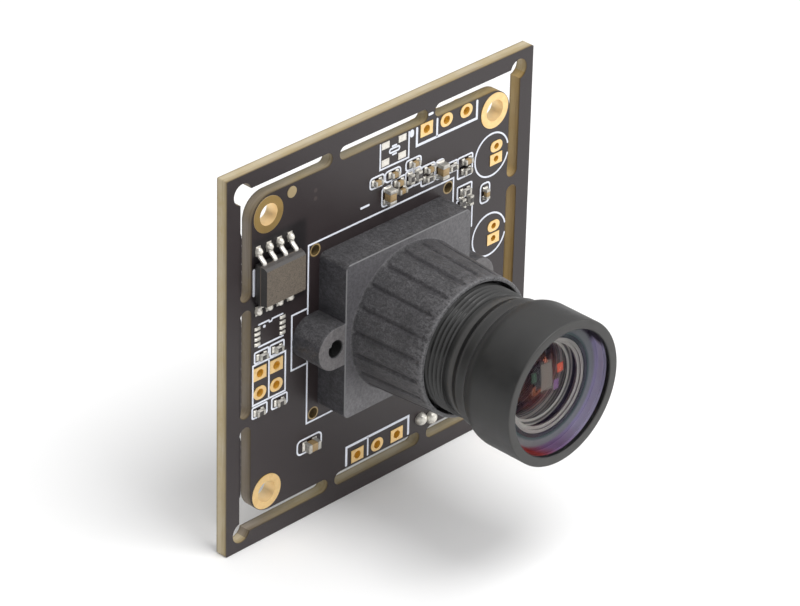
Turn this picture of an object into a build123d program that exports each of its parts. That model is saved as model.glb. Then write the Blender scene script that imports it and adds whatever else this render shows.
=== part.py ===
from build123d import *
import math
import os

# Board camera with a screw-in lens: a square circuit board, a moulded lens holder and a turned lens barrel.
# Seen from in front of the lens, X runs to the right and Z up, and the lens looks along -Y.
# The origin is the centre of the mounting holes, on the front face of the board. All sizes are in millimetres.

# Circuit board with its break-off outer frame
board_side = 38.0
board_thickness = 1.25
board_corner_radius = 0.15
inner_board_side = 32.1
inner_corner_radius = 2.3
relief_width = 1.35
bridge_width = 1.2
bridge_offset = 6.1
frame_hole_offset = 1.1
frame_hole_spacing = inner_board_side + 2 * frame_hole_offset
frame_hole_radius = 1.04
mounting_hole_margin = 1.95
mounting_hole_spacing = inner_board_side - 2 * mounting_hole_margin
mounting_hole_radius = 1.05
mounting_pad_radius = 1.75
location_hole_spacing = 16.7
location_hole_radius = 0.5
copper_thickness = 0.05

# Pads with a drilled pin hole: width, height and hole radius, and where each group sits
header_pad = (1.55, 1.3)
header_hole_radius = 0.4
header_pitch = 2.54
top_header_middle = (7.85, 15.4)
bottom_header_middle = (-0.1, -15.15)
side_header_middle = (-14.0, -2.45)
side_header_pitch = 2.0
lamp_pad = (1.55, 1.1)
lamp_hole_radius = 0.3
lamp_pad_pitch = 1.3
lamp_pad_places = [(14.5, 9.7), (14.5, 1.45)]

# Footprints with nothing fitted: pad width and height, and the spacing of their rows
oscillator_middle = (1.2, 14.75)
oscillator_pad = (0.95, 0.65)
oscillator_columns = 2.1
oscillator_rows = 1.7
spare_chip_middle = (-13.83, 2.4)
spare_chip_pad = (0.7, 0.3)
spare_chip_columns = 3.05
spare_chip_pitch = 0.53
fiducial_place = (-11.3, 15.25)
fiducial_radius = 0.55

# Lens holder, moulded in one with its two screw ears and the draft-tapered tower
holder_side = 15.64
holder_corner_radius = 0.6
holder_base_height = 3.4
ear_spacing = 18.0
ear_radius = 2.1
ear_hole_radius = 0.8
tower_base_radius = 7.15
tower_end_radius = 6.68
tower_height = 8.2
tower_rim_rounding = 0.1
flute_count = 20
flute_radius = 0.4
flute_depth = 0.13
flute_end_margin = 0.45
mouth_radius = 6.3
mouth_depth = 1.6
web_thickness = 1.0
sensor_pocket_side = 12.6
sensor_pocket_depth = 2.0
window_side = 6.4

# Screws that come through the board from behind and cut into the ears
screw_radius = 0.78
screw_tip_radius = 0.3
screw_tip_length = 0.5
screw_reach = 2.6
screw_head_radius = 1.55
screw_head_height = 1.1
screw_drive_width = 0.4
screw_drive_length = 1.7
screw_drive_depth = 0.6
screw_board_clearance = 0.12

# Image sensor in its ceramic package, and the infrared filter under the holder's web
sensor_side = 9.2
sensor_height = 1.0
sensor_cavity_side = 7.6
sensor_cavity_depth = 0.55
sensor_glass_side = 8.6
sensor_glass_thickness = 0.35
die_width = 6.6
die_length = 4.8
die_thickness = 0.3
filter_side = 7.6
filter_thickness = 0.3

# Outside of the lens barrel, from its head to its thread
head_radius = 6.92
head_length = 4.4
head_edge_radius = 0.15
shoulder_length = 1.7
neck_radius = 6.15
neck_length = 1.0
neck_waist_radius = 5.85
neck_flare_length = 1.15
relief_groove_length = 0.65
relief_groove_radius = 5.7
thread_radius = 6.0
thread_clearance = 0.04
barrel_rear_chamfer = 0.35

# Inside of the barrel: three bores that step down from front to rear, with a lip behind the last
glass_recess = 0.75
front_bore_radius = 6.0
middle_bore_radius = 4.65
middle_bore_length = 4.45
rear_bore_radius = 4.05
rear_lip_radius = 3.2
rear_lip_length = 1.5
optics_clearance = 0.03

# Lens elements: edge thickness, and how far each face rises or sinks at the axis
front_lens_edge = 2.5
front_lens_bevel = 0.12
front_lens_rise = 0.6
front_lens_hollow_radius = 4.6
front_lens_hollow = 1.7
second_lens_edge = 1.3
second_lens_rise = 0.4
second_lens_hollow_radius = 3.3
second_lens_hollow = 0.9
third_lens_edge = 1.5
third_lens_front_rise = 0.45
third_lens_rear_rise = 0.3
fourth_lens_edge = 1.2
fourth_lens_hollow = 0.35
rear_lens_edge = 1.6
rear_lens_front_rise = 0.6
rear_lens_rear_rise = 0.5

# Rings between the lens elements: inner radius and length
middle_spacer_radius = 3.9
middle_spacer_length = 2.0
locking_ring_length = 0.8
front_spacer_mouth_radius = 4.25
front_spacer_step_radius = 3.95
front_spacer_throat_radius = 3.65
front_spacer_step_length = 0.35
rear_ring_radius = 3.4
stop_ring_length = 1.6
stop_opening_radius = 1.6
stop_web_thickness = 0.15
rear_spacer_length = 1.5

# The barrel is as long as what is stacked in it, and its front stands this far from the board's front face
rear_bore_length = rear_lens_edge + rear_spacer_length + fourth_lens_edge
rear_bore_length += stop_ring_length + third_lens_edge + locking_ring_length
barrel_length = glass_recess + front_lens_edge + middle_bore_length + rear_bore_length + rear_lip_length
barrel_web_gap = 1.9
lens_front = sensor_pocket_depth + web_thickness + barrel_web_gap + barrel_length

# Flash memory chip with eight gull-wing leads
flash_middle = (-13.4, 7.95)
flash_width = 4.9
flash_depth = 3.9
flash_height = 1.45
flash_standoff = 0.15
flash_bevel_height = 0.35
flash_bevel = 0.3
flash_draft = 8.0
lead_count = 4
lead_pitch = 1.27
lead_width = 0.42
lead_thickness = 0.2
lead_exit_height = 0.8
lead_foot_length = 0.5
lead_shoulder_length = 0.25
lead_reach = 1.05
lead_pad_margin = 0.45

# Chip parts: length, width and height of each size, and the places and turns of every one
small_chip = (1.0, 0.5, 0.45)
large_chip = (1.5, 0.85, 0.8)
terminal_share = 0.26
terminal_wrap = 0.02
chip_pad_margin = 0.12
front_small_capacitors = [
    (-0.9, 12.35, 0),
    (1.2, 12.4, 0),
    (1.9, 11.3, 0),
    (2.2, 10.4, 0),
    (3.8, 12.55, 0),
    (5.75, 11.25, 0),
    (10.6, 10.3, 0),
    (13.2, 6.0, 90),
]
front_large_capacitors = [
    (0.5, 10.55, 90),
    (7.2, 10.65, 90),
    (-8.8, -11.4, 0),
]
front_resistors = [
    (3.3, 11.2, 90),
    (4.25, 11.2, 90),
    (5.65, 10.35, 0),
    (8.65, 10.35, 0),
    (10.55, 9.3, 0),
    (10.5, 7.25, 0),
    (10.05, 6.2, 90),
    (11.05, 6.2, 90),
    (-14.85, 0.25, 0),
    (-12.95, 0.25, 0),
    (-15.15, -5.35, 0),
    (-12.65, -5.35, 0),
]
solder_blob_places = [(5.5, -14.75), (6.85, -15.15)]
solder_blob_radius = 0.62
solder_blob_height = 0.7

# Back of the board: image processor, crystal, regulators, coil and cable connector
processor_middle = (0.8, 5.6)
processor_side = 9.0
processor_height = 0.85
processor_corner_mark = 0.7
processor_pads_per_side = 14
processor_pad_pitch = 0.5
processor_pad_width = 0.24
processor_pad_length = 0.45
crystal_middle = (-11.3, 8.4)
crystal_width = 3.2
crystal_depth = 2.5
crystal_base_height = 0.35
crystal_can_height = 0.4
crystal_can_inset = 0.2
crystal_pad = 0.9
regulator_middles = [(-9.6, -5.4), (-4.9, -5.4), (4.6, -4.6)]
regulator_width = 2.9
regulator_depth = 1.6
regulator_height = 1.1
regulator_lead_pitch = 0.95
regulator_lead_reach = 0.6
coil_middle = (5.4, -9.8)
coil_side = 4.0
coil_height = 1.9
coil_corner = 0.5
coil_terminal_width = 2.4
coil_terminal_length = 0.9
coil_terminal_height = 0.3
rear_small_capacitors = [
    (-5.4, 9.4, 90),
    (-5.4, 7.2, 90),
    (-5.4, 3.0, 90),
    (6.9, 9.2, 90),
    (6.9, 7.0, 90),
    (6.9, 2.8, 90),
    (-11.3, 5.8, 0),
    (-11.3, 11.0, 0),
]
rear_large_capacitors = [
    (-12.1, -5.4, 90),
    (-7.2, -5.4, 90),
    (2.2, -4.6, 90),
    (1.4, -9.8, 90),
]
rear_resistors = [
    (-1.6, 12.0, 90),
    (0.0, 12.0, 90),
    (1.6, 12.0, 90),
    (3.2, 12.0, 90),
    (12.6, 5.6, 90),
    (12.6, 3.4, 90),
]

# Cable connector on the back, a small side-entry header that opens at the right edge of the inner board
connector_height_on_board = -6.2
connector_contacts = 5
connector_pitch = 1.25
connector_end_margin = 1.6
connector_depth = 4.4
connector_height = 3.2
connector_wall = 0.45
connector_back_wall = 1.0
connector_keyway_width = 1.2
contact_width = 0.3
contact_reach = 2.6
contact_tail = 0.8
contact_foot_height = 0.25
connector_tab_width = 0.9
connector_tab_length = 1.8
connector_tab_height = 1.2


def front_plane(height):
    """Plane that faces forwards, a height in front of the board."""
    return Plane(origin=(0, -height, 0), x_dir=(1, 0, 0), z_dir=(0, -1, 0))


def on_front(sketch, start, height):
    """Extrudes a sketch forwards, from a start in front of the board."""
    return extrude(front_plane(start) * sketch, height, dir=(0, -1, 0))


def on_rear(sketch, start, height):
    """Extrudes a sketch backwards, from a start behind the board."""
    return extrude(front_plane(-board_thickness - start) * sketch, height, dir=(0, 1, 0))


def box_at(middle, width, depth):
    """Rectangle about a place on the board."""
    return Pos(middle[0], middle[1]) * Rectangle(width, depth)


def turned(outline):
    """Revolves a closed outline of radius against distance in front of the board."""
    plane = Plane(origin=(0, 0, 0), x_dir=(1, 0, 0), z_dir=(0, 0, -1))
    return revolve(plane * make_face(outline), Axis((0, 0, 0), (0, -1, 0)), 360)


def ring(inner, outer, start, length):
    """Plain ring about the optical axis."""
    end = start + length
    return turned(Polyline((inner, start), (outer, start), (outer, end), (inner, end), close=True))


def face_arc(radius, edge, rise):
    """Half of a lens face, from its edge to the optical axis; a negative rise sinks towards the board."""
    curvature = (radius**2 + rise**2) / (2 * abs(rise))
    half_angle = math.asin(radius / curvature) / 2
    drop = math.copysign(curvature * (1 - math.cos(half_angle)), rise)
    return ThreePointArc((radius, edge), (curvature * math.sin(half_angle), edge + rise - drop), (0, edge + rise))


def save(name, pieces):
    """Writes one node with its separate solids."""
    pieces = pieces if isinstance(pieces, list) else [pieces]
    solids = [solid for piece in pieces for solid in piece.solids()]
    export_step(Compound(children=solids), f"parts/{name}.step")


# Circuit board


def corner_places(spacing):
    """Corners of a square about the origin."""
    half = spacing / 2
    return [(-half, half), (half, half), (half, -half), (-half, -half)]


def relief_slots():
    """Slots that part the inner board from its frame; they meet in a drilled hole at each corner."""
    inner = inner_board_side / 2
    outer = inner + relief_width
    middle_line = inner + relief_width / 2
    arm_start = bridge_offset + bridge_width / 2
    hole = frame_hole_spacing / 2
    centre = inner - inner_corner_radius
    arm = Pos((hole + arm_start) / 2, middle_line) * SlotOverall(hole - arm_start + relief_width / 2, relief_width)
    corner = Pos((outer + centre) / 2, (outer + centre) / 2) * Rectangle(outer - centre, outer - centre)
    corner -= Pos(centre, centre) * Circle(inner_corner_radius)
    side = Pos(0, middle_line) * SlotOverall(2 * bridge_offset - bridge_width, relief_width)
    side += arm + mirror(arm, Plane((0, 0, 0), z_dir=(1, -1, 0)))
    side += corner + Pos(hole, hole) * Circle(frame_hole_radius)
    slots = side
    for turn in (90, 180, 270):
        slots += Rot(0, 0, turn) * side
    return slots


def pin_holes():
    """Every plated pin hole: place, pad outline and hole radius."""
    square = Rectangle(*header_pad)
    oval = SlotOverall(*header_pad)
    holes = []
    for middle, shapes in (
        (top_header_middle, (square, oval, oval)),
        (bottom_header_middle, (square, oval, square)),
    ):
        for step, pad in zip((-1, 0, 1), shapes):
            holes.append((middle[0] + step * header_pitch, middle[1], pad, header_hole_radius))
    for column in (-0.5, 0.5):
        for row, pad in ((0.5, square), (-0.5, oval)):
            x = side_header_middle[0] + column * side_header_pitch
            z = side_header_middle[1] + row * side_header_pitch
            holes.append((x, z, pad, header_hole_radius))
    lamp_square = Rectangle(*lamp_pad)
    lamp_oval = SlotOverall(*lamp_pad)
    for x, z in lamp_pad_places:
        for row, pad in ((0.5, lamp_oval), (-0.5, lamp_square)):
            holes.append((x, z + row * lamp_pad_pitch, pad, lamp_hole_radius))
    return holes


def screw_places():
    """The two lens holder screws."""
    return [(-ear_spacing / 2, 0), (ear_spacing / 2, 0)]


def circuit_board():
    """Board blank, less its relief slots and every drilled hole."""
    blank = RectangleRounded(board_side, board_side, board_corner_radius) - relief_slots()
    drills = [(x, z, mounting_hole_radius + copper_thickness) for x, z in corner_places(mounting_hole_spacing)]
    drills += [(x, z, location_hole_radius) for x, z in corner_places(location_hole_spacing)]
    drills += [(x, z, hole + copper_thickness) for x, z, pad, hole in pin_holes()]
    drills += [(x, z, screw_radius + screw_board_clearance) for x, z in screw_places()]
    for x, z, radius in drills:
        blank -= Pos(x, z) * Circle(radius)
    return on_rear(blank, 0, -board_thickness)


def plated_hole(x, z, pad, hole):
    """Copper pads on both faces, joined by the plated wall of the hole."""
    pads = Pos(x, z) * (pad - Circle(hole))
    wall = Pos(x, z) * (Circle(hole + copper_thickness) - Circle(hole))
    plated = on_rear(wall, 0, -board_thickness)
    plated += on_front(pads, 0, copper_thickness)
    return plated + on_rear(pads, 0, copper_thickness)


def mounting_hole_plating():
    """Plating of the four mounting holes."""
    pad = Circle(mounting_pad_radius)
    return [plated_hole(x, z, pad, mounting_hole_radius) for x, z in corner_places(mounting_hole_spacing)]


def empty_footprint_pads():
    """Tinned pads of the oscillator and the chip that are left off, and the bare alignment target."""
    pads = [Pos(*fiducial_place) * Circle(fiducial_radius)]
    for column in (-0.5, 0.5):
        for row in (-0.5, 0.5):
            x = oscillator_middle[0] + column * oscillator_columns
            z = oscillator_middle[1] + row * oscillator_rows
            pads.append(box_at((x, z), *oscillator_pad))
        for row in range(lead_count):
            x = spare_chip_middle[0] + column * spare_chip_columns
            z = spare_chip_middle[1] + (row - (lead_count - 1) / 2) * spare_chip_pitch
            pads.append(box_at((x, z), *spare_chip_pad))
    return pads


# Lens holder and the pieces under it


def holder_flutes():
    """Cutters for the shallow flutes, which follow the taper and stop short of the rim."""
    start = holder_base_height
    end = holder_base_height + tower_height - flute_end_margin
    slope = (tower_base_radius - tower_end_radius) / tower_height
    lift = flute_radius - flute_depth
    low = tower_base_radius + lift
    high = tower_base_radius - slope * (end - start) + lift
    path = Line((low, -start, 0), (high, -end, 0))
    cutter = sweep(Plane(path @ 0, z_dir=path % 0) * Circle(flute_radius), path)
    half_turn = 180 / flute_count
    return [Rot(0, half_turn + 2 * half_turn * index, 0) * cutter for index in range(flute_count)]


def lens_holder():
    """Square foot with an ear each side, and a fluted tower bored for the lens."""
    foot = RectangleRounded(holder_side, holder_side, holder_corner_radius)
    foot += Rectangle(ear_spacing, 2 * ear_radius)
    for x, z in screw_places():
        foot += Pos(x, z) * Circle(ear_radius)
    holder = on_front(foot, 0, holder_base_height)
    top = holder_base_height + tower_height
    rim = tower_rim_rounding
    holder += turned(
        Polyline(
            (0, holder_base_height),
            (tower_base_radius, holder_base_height),
            (tower_end_radius, top - rim),
            (tower_end_radius - rim, top),
            (0, top),
            close=True,
        )
    )
    for flute in holder_flutes():
        holder -= flute
    web_top = sensor_pocket_depth + web_thickness
    bore = thread_radius + thread_clearance
    holder -= ring(0, bore, web_top, top - web_top) + ring(0, mouth_radius, top - mouth_depth, mouth_depth)
    holder -= on_front(Rectangle(sensor_pocket_side, sensor_pocket_side), 0, sensor_pocket_depth)
    holder -= on_front(Rectangle(window_side, window_side), 0, web_top)
    for x, z in screw_places():
        holder -= on_front(Pos(x, z) * Circle(ear_hole_radius), 0, holder_base_height)
    return holder


def holder_screws():
    """Pan-head cross screws from behind the board into the ears."""
    screws = []
    for x, z in screw_places():
        place = Pos(x, z)
        screw = on_rear(place * Circle(screw_head_radius), 0, screw_head_height)
        screw = fillet(screw.edges().sort_by(Axis.Y)[-1], screw_head_height / 2)
        for turn in (0, 90):
            slot = place * Rot(0, 0, turn) * Rectangle(screw_drive_length, screw_drive_width)
            screw -= on_rear(slot, screw_head_height - screw_drive_depth, screw_drive_depth)
        screw += on_rear(place * Circle(screw_radius), 0, -board_thickness - screw_reach + screw_tip_length)
        tip = loft([
            front_plane(screw_reach - screw_tip_length) * place * Circle(screw_radius),
            front_plane(screw_reach) * place * Circle(screw_tip_radius),
        ])
        screws.append(screw + tip)
    return screws


def sensor_package():
    """Ceramic tray of the image sensor."""
    tray = on_front(Rectangle(sensor_side, sensor_side), 0, sensor_height)
    cavity = Rectangle(sensor_cavity_side, sensor_cavity_side)
    return tray - on_front(cavity, sensor_height - sensor_cavity_depth, sensor_cavity_depth)


def sensor_die():
    """Silicon die on the floor of the tray."""
    return on_front(Rectangle(die_width, die_length), sensor_height - sensor_cavity_depth, die_thickness)


def sensor_cover_glass():
    """Window that closes the tray."""
    return on_front(Rectangle(sensor_glass_side, sensor_glass_side), sensor_height, sensor_glass_thickness)


def infrared_filter():
    """Filter glued under the holder's web, over the window."""
    return on_front(Rectangle(filter_side, filter_side), sensor_pocket_depth - filter_thickness, filter_thickness)


# Lens


def lens_barrel():
    """Turned barrel: head, shoulder, neck, thread and three stepped bores."""
    rear = lens_front - barrel_length
    head_rear = lens_front - head_length
    shoulder = head_rear - shoulder_length
    neck_rear = shoulder - neck_length
    waist = neck_rear - neck_flare_length
    groove = waist - relief_groove_length
    edge = head_edge_radius
    glass_seat = lens_front - glass_recess - front_lens_edge
    middle_seat = glass_seat - middle_bore_length
    lip = rear + rear_lip_length
    shoulder_middle = (head_radius + neck_radius) / 2 + (head_radius - neck_radius) * 0.25
    flare_middle = (neck_radius + 3 * neck_waist_radius) / 4
    outline = Polyline(
        (front_bore_radius, lens_front),
        (front_bore_radius, glass_seat),
        (middle_bore_radius, glass_seat),
        (middle_bore_radius, middle_seat),
        (rear_bore_radius, middle_seat),
        (rear_bore_radius, lip),
        (rear_lip_radius, lip),
        (rear_lip_radius, rear),
        (thread_radius - barrel_rear_chamfer, rear),
        (thread_radius, rear + barrel_rear_chamfer),
        (thread_radius, groove),
        (relief_groove_radius, groove),
        (relief_groove_radius, waist - relief_groove_length / 2),
        (neck_waist_radius, waist),
    )
    outline += ThreePointArc(
        (neck_waist_radius, waist),
        (flare_middle, (waist + neck_rear) / 2),
        (neck_radius, neck_rear),
    )
    outline += Line((neck_radius, neck_rear), (neck_radius, shoulder))
    outline += ThreePointArc(
        (neck_radius, shoulder),
        (shoulder_middle, (shoulder + head_rear) / 2),
        (head_radius, head_rear),
    )
    outline += Line((head_radius, head_rear), (head_radius, lens_front - edge))
    outline += RadiusArc((head_radius, lens_front - edge), (head_radius - edge, lens_front), -edge)
    outline += Line((head_radius - edge, lens_front), (front_bore_radius, lens_front))
    return turned(outline)


def lens_element(outer, rear, edge, front_clear, front_rise, rear_clear, rear_rise):
    """Element with flat seating rims; each face bulges by its rise, or sinks where that is negative."""
    front = rear + edge
    outline = Polyline((rear_clear, rear), (outer, rear), (outer, front), (front_clear, front))
    outline += face_arc(front_clear, front, front_rise)
    outline += Line((0, front + front_rise), (0, rear - rear_rise))
    return turned(outline + face_arc(rear_clear, rear, -rear_rise))


def rear_group():
    """Elements and rings in the rear bore, stacked forwards from its lip."""
    outer = rear_bore_radius - optics_clearance
    clear = rear_ring_radius
    pieces = {}
    level = lens_front - barrel_length + rear_lip_length + optics_clearance
    pieces["rear_lens"] = lens_element(
        outer, level, rear_lens_edge, clear, rear_lens_front_rise, rear_lip_radius, rear_lens_rear_rise
    )
    level += rear_lens_edge
    pieces["rear_spacer"] = ring(clear, outer, level, rear_spacer_length)
    level += rear_spacer_length
    pieces["fourth_lens"] = lens_element(
        outer, level, fourth_lens_edge, clear, -fourth_lens_hollow, clear, -fourth_lens_hollow
    )
    level += fourth_lens_edge
    web = level + (stop_ring_length - stop_web_thickness) / 2
    stop = ring(clear, outer, level, stop_ring_length)
    pieces["aperture_stop"] = stop + ring(stop_opening_radius, outer, web, stop_web_thickness)
    level += stop_ring_length
    pieces["third_lens"] = lens_element(
        outer, level, third_lens_edge, clear, third_lens_front_rise, clear, third_lens_rear_rise
    )
    level += third_lens_edge
    pieces["locking_ring"] = ring(clear, outer, level, locking_ring_length)
    return pieces


def front_group():
    """Elements and rings in the middle and front bores, stacked forwards from the middle seat."""
    outer = middle_bore_radius - optics_clearance
    seat = lens_front - glass_recess - front_lens_edge
    pieces = {}
    level = seat - middle_bore_length + optics_clearance
    pieces["middle_spacer"] = ring(middle_spacer_radius, outer, level, middle_spacer_length)
    level += middle_spacer_length
    pieces["second_lens"] = lens_element(
        outer,
        level,
        second_lens_edge,
        front_spacer_throat_radius,
        second_lens_rise,
        second_lens_hollow_radius,
        -second_lens_hollow,
    )
    level += second_lens_edge
    front_seat = seat + optics_clearance
    step = front_seat - front_spacer_step_length
    spacer = ring(front_spacer_mouth_radius, outer, step, front_spacer_step_length)
    spacer += ring(front_spacer_step_radius, outer, step - front_spacer_step_length, front_spacer_step_length)
    throat_length = step - front_spacer_step_length - level
    pieces["front_spacer"] = spacer + ring(front_spacer_throat_radius, outer, level, throat_length)
    glass = front_bore_radius - optics_clearance
    pieces["front_lens"] = lens_element(
        glass,
        front_seat,
        front_lens_edge - optics_clearance,
        glass - front_lens_bevel,
        front_lens_rise,
        front_lens_hollow_radius,
        -front_lens_hollow,
    )
    return pieces


# Parts soldered to the board


def side_extrusion(outline, x, width):
    """Extrudes an outline of distance up the board against distance in front of it, along X."""
    plane = Plane(origin=(x, 0, 0), x_dir=(0, 0, 1), z_dir=(1, 0, 0))
    return extrude(plane * make_face(outline), width / 2, both=True)


def flash_memory():
    """Moulded body of the memory chip, drafted up and down from its lead line, with one bevelled edge."""
    outline = box_at(flash_middle, flash_width, flash_depth)
    upper = flash_standoff + flash_height - lead_exit_height
    body = extrude(front_plane(lead_exit_height) * outline, upper, dir=(0, -1, 0), taper=flash_draft)
    body += extrude(
        front_plane(lead_exit_height) * outline, lead_exit_height - flash_standoff, dir=(0, 1, 0), taper=flash_draft
    )
    edge = flash_middle[1] + flash_depth / 2
    top = flash_standoff + flash_height
    bevel = Polyline(
        (edge - flash_bevel, top),
        (edge, top - flash_bevel_height),
        (edge, top),
        close=True,
    )
    return body - side_extrusion(bevel, flash_middle[0], flash_width)


def gull_lead(x, edge, side, width, reach, foot, exit_height):
    """Lead that leaves a body's edge, slopes down and lies along its pad; side is up or down the board."""
    low = copper_thickness
    thick = lead_thickness
    outline = [
        (0, exit_height - thick / 2),
        (lead_shoulder_length - thick / 4, exit_height - thick / 2),
        (reach - foot - thick / 4, low),
        (reach, low),
        (reach, low + thick),
        (reach - foot + thick / 4, low + thick),
        (lead_shoulder_length + thick / 4, exit_height + thick / 2),
        (0, exit_height + thick / 2),
    ]
    points = [(edge + side * along, height) for along, height in outline]
    return side_extrusion(Polyline(*points, close=True), x, width)


def flash_columns():
    """Lead places of the memory chip: X, edge height and side."""
    columns = []
    for side in (1, -1):
        for index in range(lead_count):
            x = flash_middle[0] + (index - (lead_count - 1) / 2) * lead_pitch
            columns.append((x, flash_middle[1] + side * flash_depth / 2, side))
    return columns


def flash_leads():
    """All eight leads of the memory chip."""
    return [
        gull_lead(x, edge, side, lead_width, lead_reach, lead_foot_length, lead_exit_height)
        for x, edge, side in flash_columns()
    ]


def flash_pads():
    """Soldered pads under the memory chip's leads."""
    length = lead_foot_length + lead_pad_margin
    pads = []
    for x, edge, side in flash_columns():
        z = edge + side * (lead_reach - lead_foot_length + length / 2)
        pads.append(box_at((x, z), lead_width + chip_pad_margin, length))
    return pads


def chip_rows(small, large):
    """Places, turns and sizes of chip parts of both sizes."""
    return [(x, z, turn, small_chip) for x, z, turn in small] + [(x, z, turn, large_chip) for x, z, turn in large]


def chip_bodies(rows, extruder):
    """Ceramic middles of chip parts, between their end caps."""
    bodies = []
    for x, z, turn, (length, width, height) in rows:
        middle = Rectangle(length * (1 - 2 * terminal_share), width - 2 * terminal_wrap)
        place = Pos(x, z) * Rot(0, 0, turn)
        bodies.append(extruder(place * middle, copper_thickness + terminal_wrap, height - 2 * terminal_wrap))
    return bodies


def chip_terminals(rows, extruder):
    """Metal end caps of chip parts."""
    caps = []
    for x, z, turn, (length, width, height) in rows:
        for end in (-1, 1):
            place = Pos(x, z) * Rot(0, 0, turn) * Pos(end * length * (1 - terminal_share) / 2, 0)
            caps.append(extruder(place * Rectangle(length * terminal_share, width), copper_thickness, height))
    return caps


def chip_pads(rows):
    """Solder pads under chip parts, a little longer and wider than their end caps."""
    pads = []
    for x, z, turn, (length, width, height) in rows:
        cap = length * terminal_share
        for end in (-1, 1):
            middle = end * (length / 2 + (chip_pad_margin - cap) / 2)
            pad = Rectangle(cap + chip_pad_margin, width + chip_pad_margin)
            pads.append(Pos(x, z) * Rot(0, 0, turn) * Pos(middle, 0) * pad)
    return pads


def front_pads():
    """Every surface pad on the front."""
    rows = chip_rows(front_small_capacitors + front_resistors, front_large_capacitors)
    pads = empty_footprint_pads() + flash_pads() + chip_pads(rows)
    return [on_front(pad, 0, copper_thickness) for pad in pads]


def solder_blobs():
    """Two hand-soldered joints near the bottom edge, each a cap of a ball."""
    blobs = []
    ball_radius = (solder_blob_radius**2 + solder_blob_height**2) / (2 * solder_blob_height)
    for x, z in solder_blob_places:
        ball = Pos(x, ball_radius - solder_blob_height, z) * Sphere(ball_radius)
        below = on_rear(box_at((x, z), 2 * ball_radius, 2 * ball_radius), -board_thickness, 2 * ball_radius)
        blobs.append(ball - below)
    return blobs


# Back of the board


def processor_pad_places():
    """Pad places round the processor: middle, width and depth."""
    half = processor_side / 2
    places = []
    for index in range(processor_pads_per_side):
        along = (index - (processor_pads_per_side - 1) / 2) * processor_pad_pitch
        for side in (-1, 1):
            x, z = processor_middle
            places.append(((x + along, z + side * half), processor_pad_width, processor_pad_length))
            places.append(((x + side * half, z + along), processor_pad_length, processor_pad_width))
    return places


def image_processor():
    """Flat leadless package, with one corner cut to mark its first pad."""
    outline = box_at(processor_middle, processor_side, processor_side)
    corner = outline.vertices().sort_by(Axis.X)[:2].sort_by(Axis.Y)[-1]
    return on_rear(chamfer(corner, processor_corner_mark), copper_thickness, processor_height)


def crystal_base():
    """Ceramic base of the crystal."""
    return on_rear(box_at(crystal_middle, crystal_width, crystal_depth), copper_thickness, crystal_base_height)


def crystal_can():
    """Metal lid of the crystal."""
    width = crystal_width - 2 * crystal_can_inset
    depth = crystal_depth - 2 * crystal_can_inset
    lid = Pos(*crystal_middle) * RectangleRounded(width, depth, crystal_can_inset)
    return on_rear(lid, copper_thickness + crystal_base_height, crystal_can_height)


def regulator_bodies():
    """Three small voltage regulators."""
    start = copper_thickness
    return [
        on_rear(box_at(middle, regulator_width, regulator_depth), start, regulator_height)
        for middle in regulator_middles
    ]


def regulator_lead_places():
    """Middle of each regulator lead: three below the body and two above."""
    places = []
    offset = (regulator_depth + regulator_lead_reach) / 2
    for x, z in regulator_middles:
        places += [(x + step * regulator_lead_pitch, z - offset) for step in (-1, 0, 1)]
        places += [(x + step * regulator_lead_pitch, z + offset) for step in (-1, 1)]
    return places


def regulator_leads():
    """Flat leads of the regulators."""
    return [
        on_rear(box_at(place, lead_width, regulator_lead_reach), copper_thickness, lead_thickness)
        for place in regulator_lead_places()
    ]


def power_coil():
    """Square core of the shielded coil."""
    core = Pos(*coil_middle) * RectangleRounded(coil_side, coil_side, coil_corner)
    return on_rear(core, copper_thickness + coil_terminal_height, coil_height)


def coil_terminals():
    """Two flat terminals under the ends of the coil."""
    x, z = coil_middle
    offset = (coil_side - coil_terminal_length) / 2
    return [
        on_rear(box_at((x + side * offset, z), coil_terminal_length, coil_terminal_width), copper_thickness,
                coil_terminal_height)
        for side in (-1, 1)
    ]


def connector_frame():
    """Connector width, and how far its mouth and its middle lie from the optical axis."""
    width = (connector_contacts - 1) * connector_pitch + 2 * connector_end_margin
    mouth = inner_board_side / 2
    return width, mouth, mouth - connector_depth / 2


def connector_box(out, up, depth, width):
    """Rectangle at a distance out from the optical axis and a distance up from the connector's middle."""
    return box_at((out, up + connector_height_on_board), depth, width)


def contact_places():
    """Each contact, as a distance up from the connector's middle."""
    return [(index - (connector_contacts - 1) / 2) * connector_pitch for index in range(connector_contacts)]


def connector_housing():
    """Socket open at the board's edge, with a keyway in its outer wall and a hole for each contact."""
    width, mouth, middle = connector_frame()
    wall = connector_wall
    housing = on_rear(connector_box(middle, 0, connector_depth, width), 0, connector_height)
    room = connector_depth - connector_back_wall
    inside = connector_box(mouth - room / 2, 0, room, width - 2 * wall)
    housing -= on_rear(inside, wall, connector_height - 2 * wall)
    keyway = connector_box(mouth - room / 2, 0, room, connector_keyway_width)
    housing -= on_rear(keyway, connector_height - wall, wall)
    for up in contact_places():
        hole = connector_box(middle, up, connector_depth, contact_width)
        housing -= on_rear(hole, (connector_height - contact_width) / 2, contact_width)
    return housing


def connector_pins():
    """Bent contacts: a pin inside the socket, and a tail down to its pad behind it."""
    width, mouth, middle = connector_frame()
    back = mouth - connector_depth
    start = back + connector_back_wall + contact_reach
    end = back - contact_width
    level = (connector_height - contact_width) / 2
    pins = []
    for up in contact_places():
        pin = on_rear(connector_box((start + end) / 2, up, start - end, contact_width), level, contact_width)
        riser = connector_box(back - contact_width / 2, up, contact_width, contact_width)
        pin += on_rear(riser, copper_thickness, level + contact_width - copper_thickness)
        tail = connector_box(back - contact_tail / 2, up, contact_tail, contact_width)
        pins.append(pin + on_rear(tail, copper_thickness, contact_foot_height))
    return pins


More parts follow.
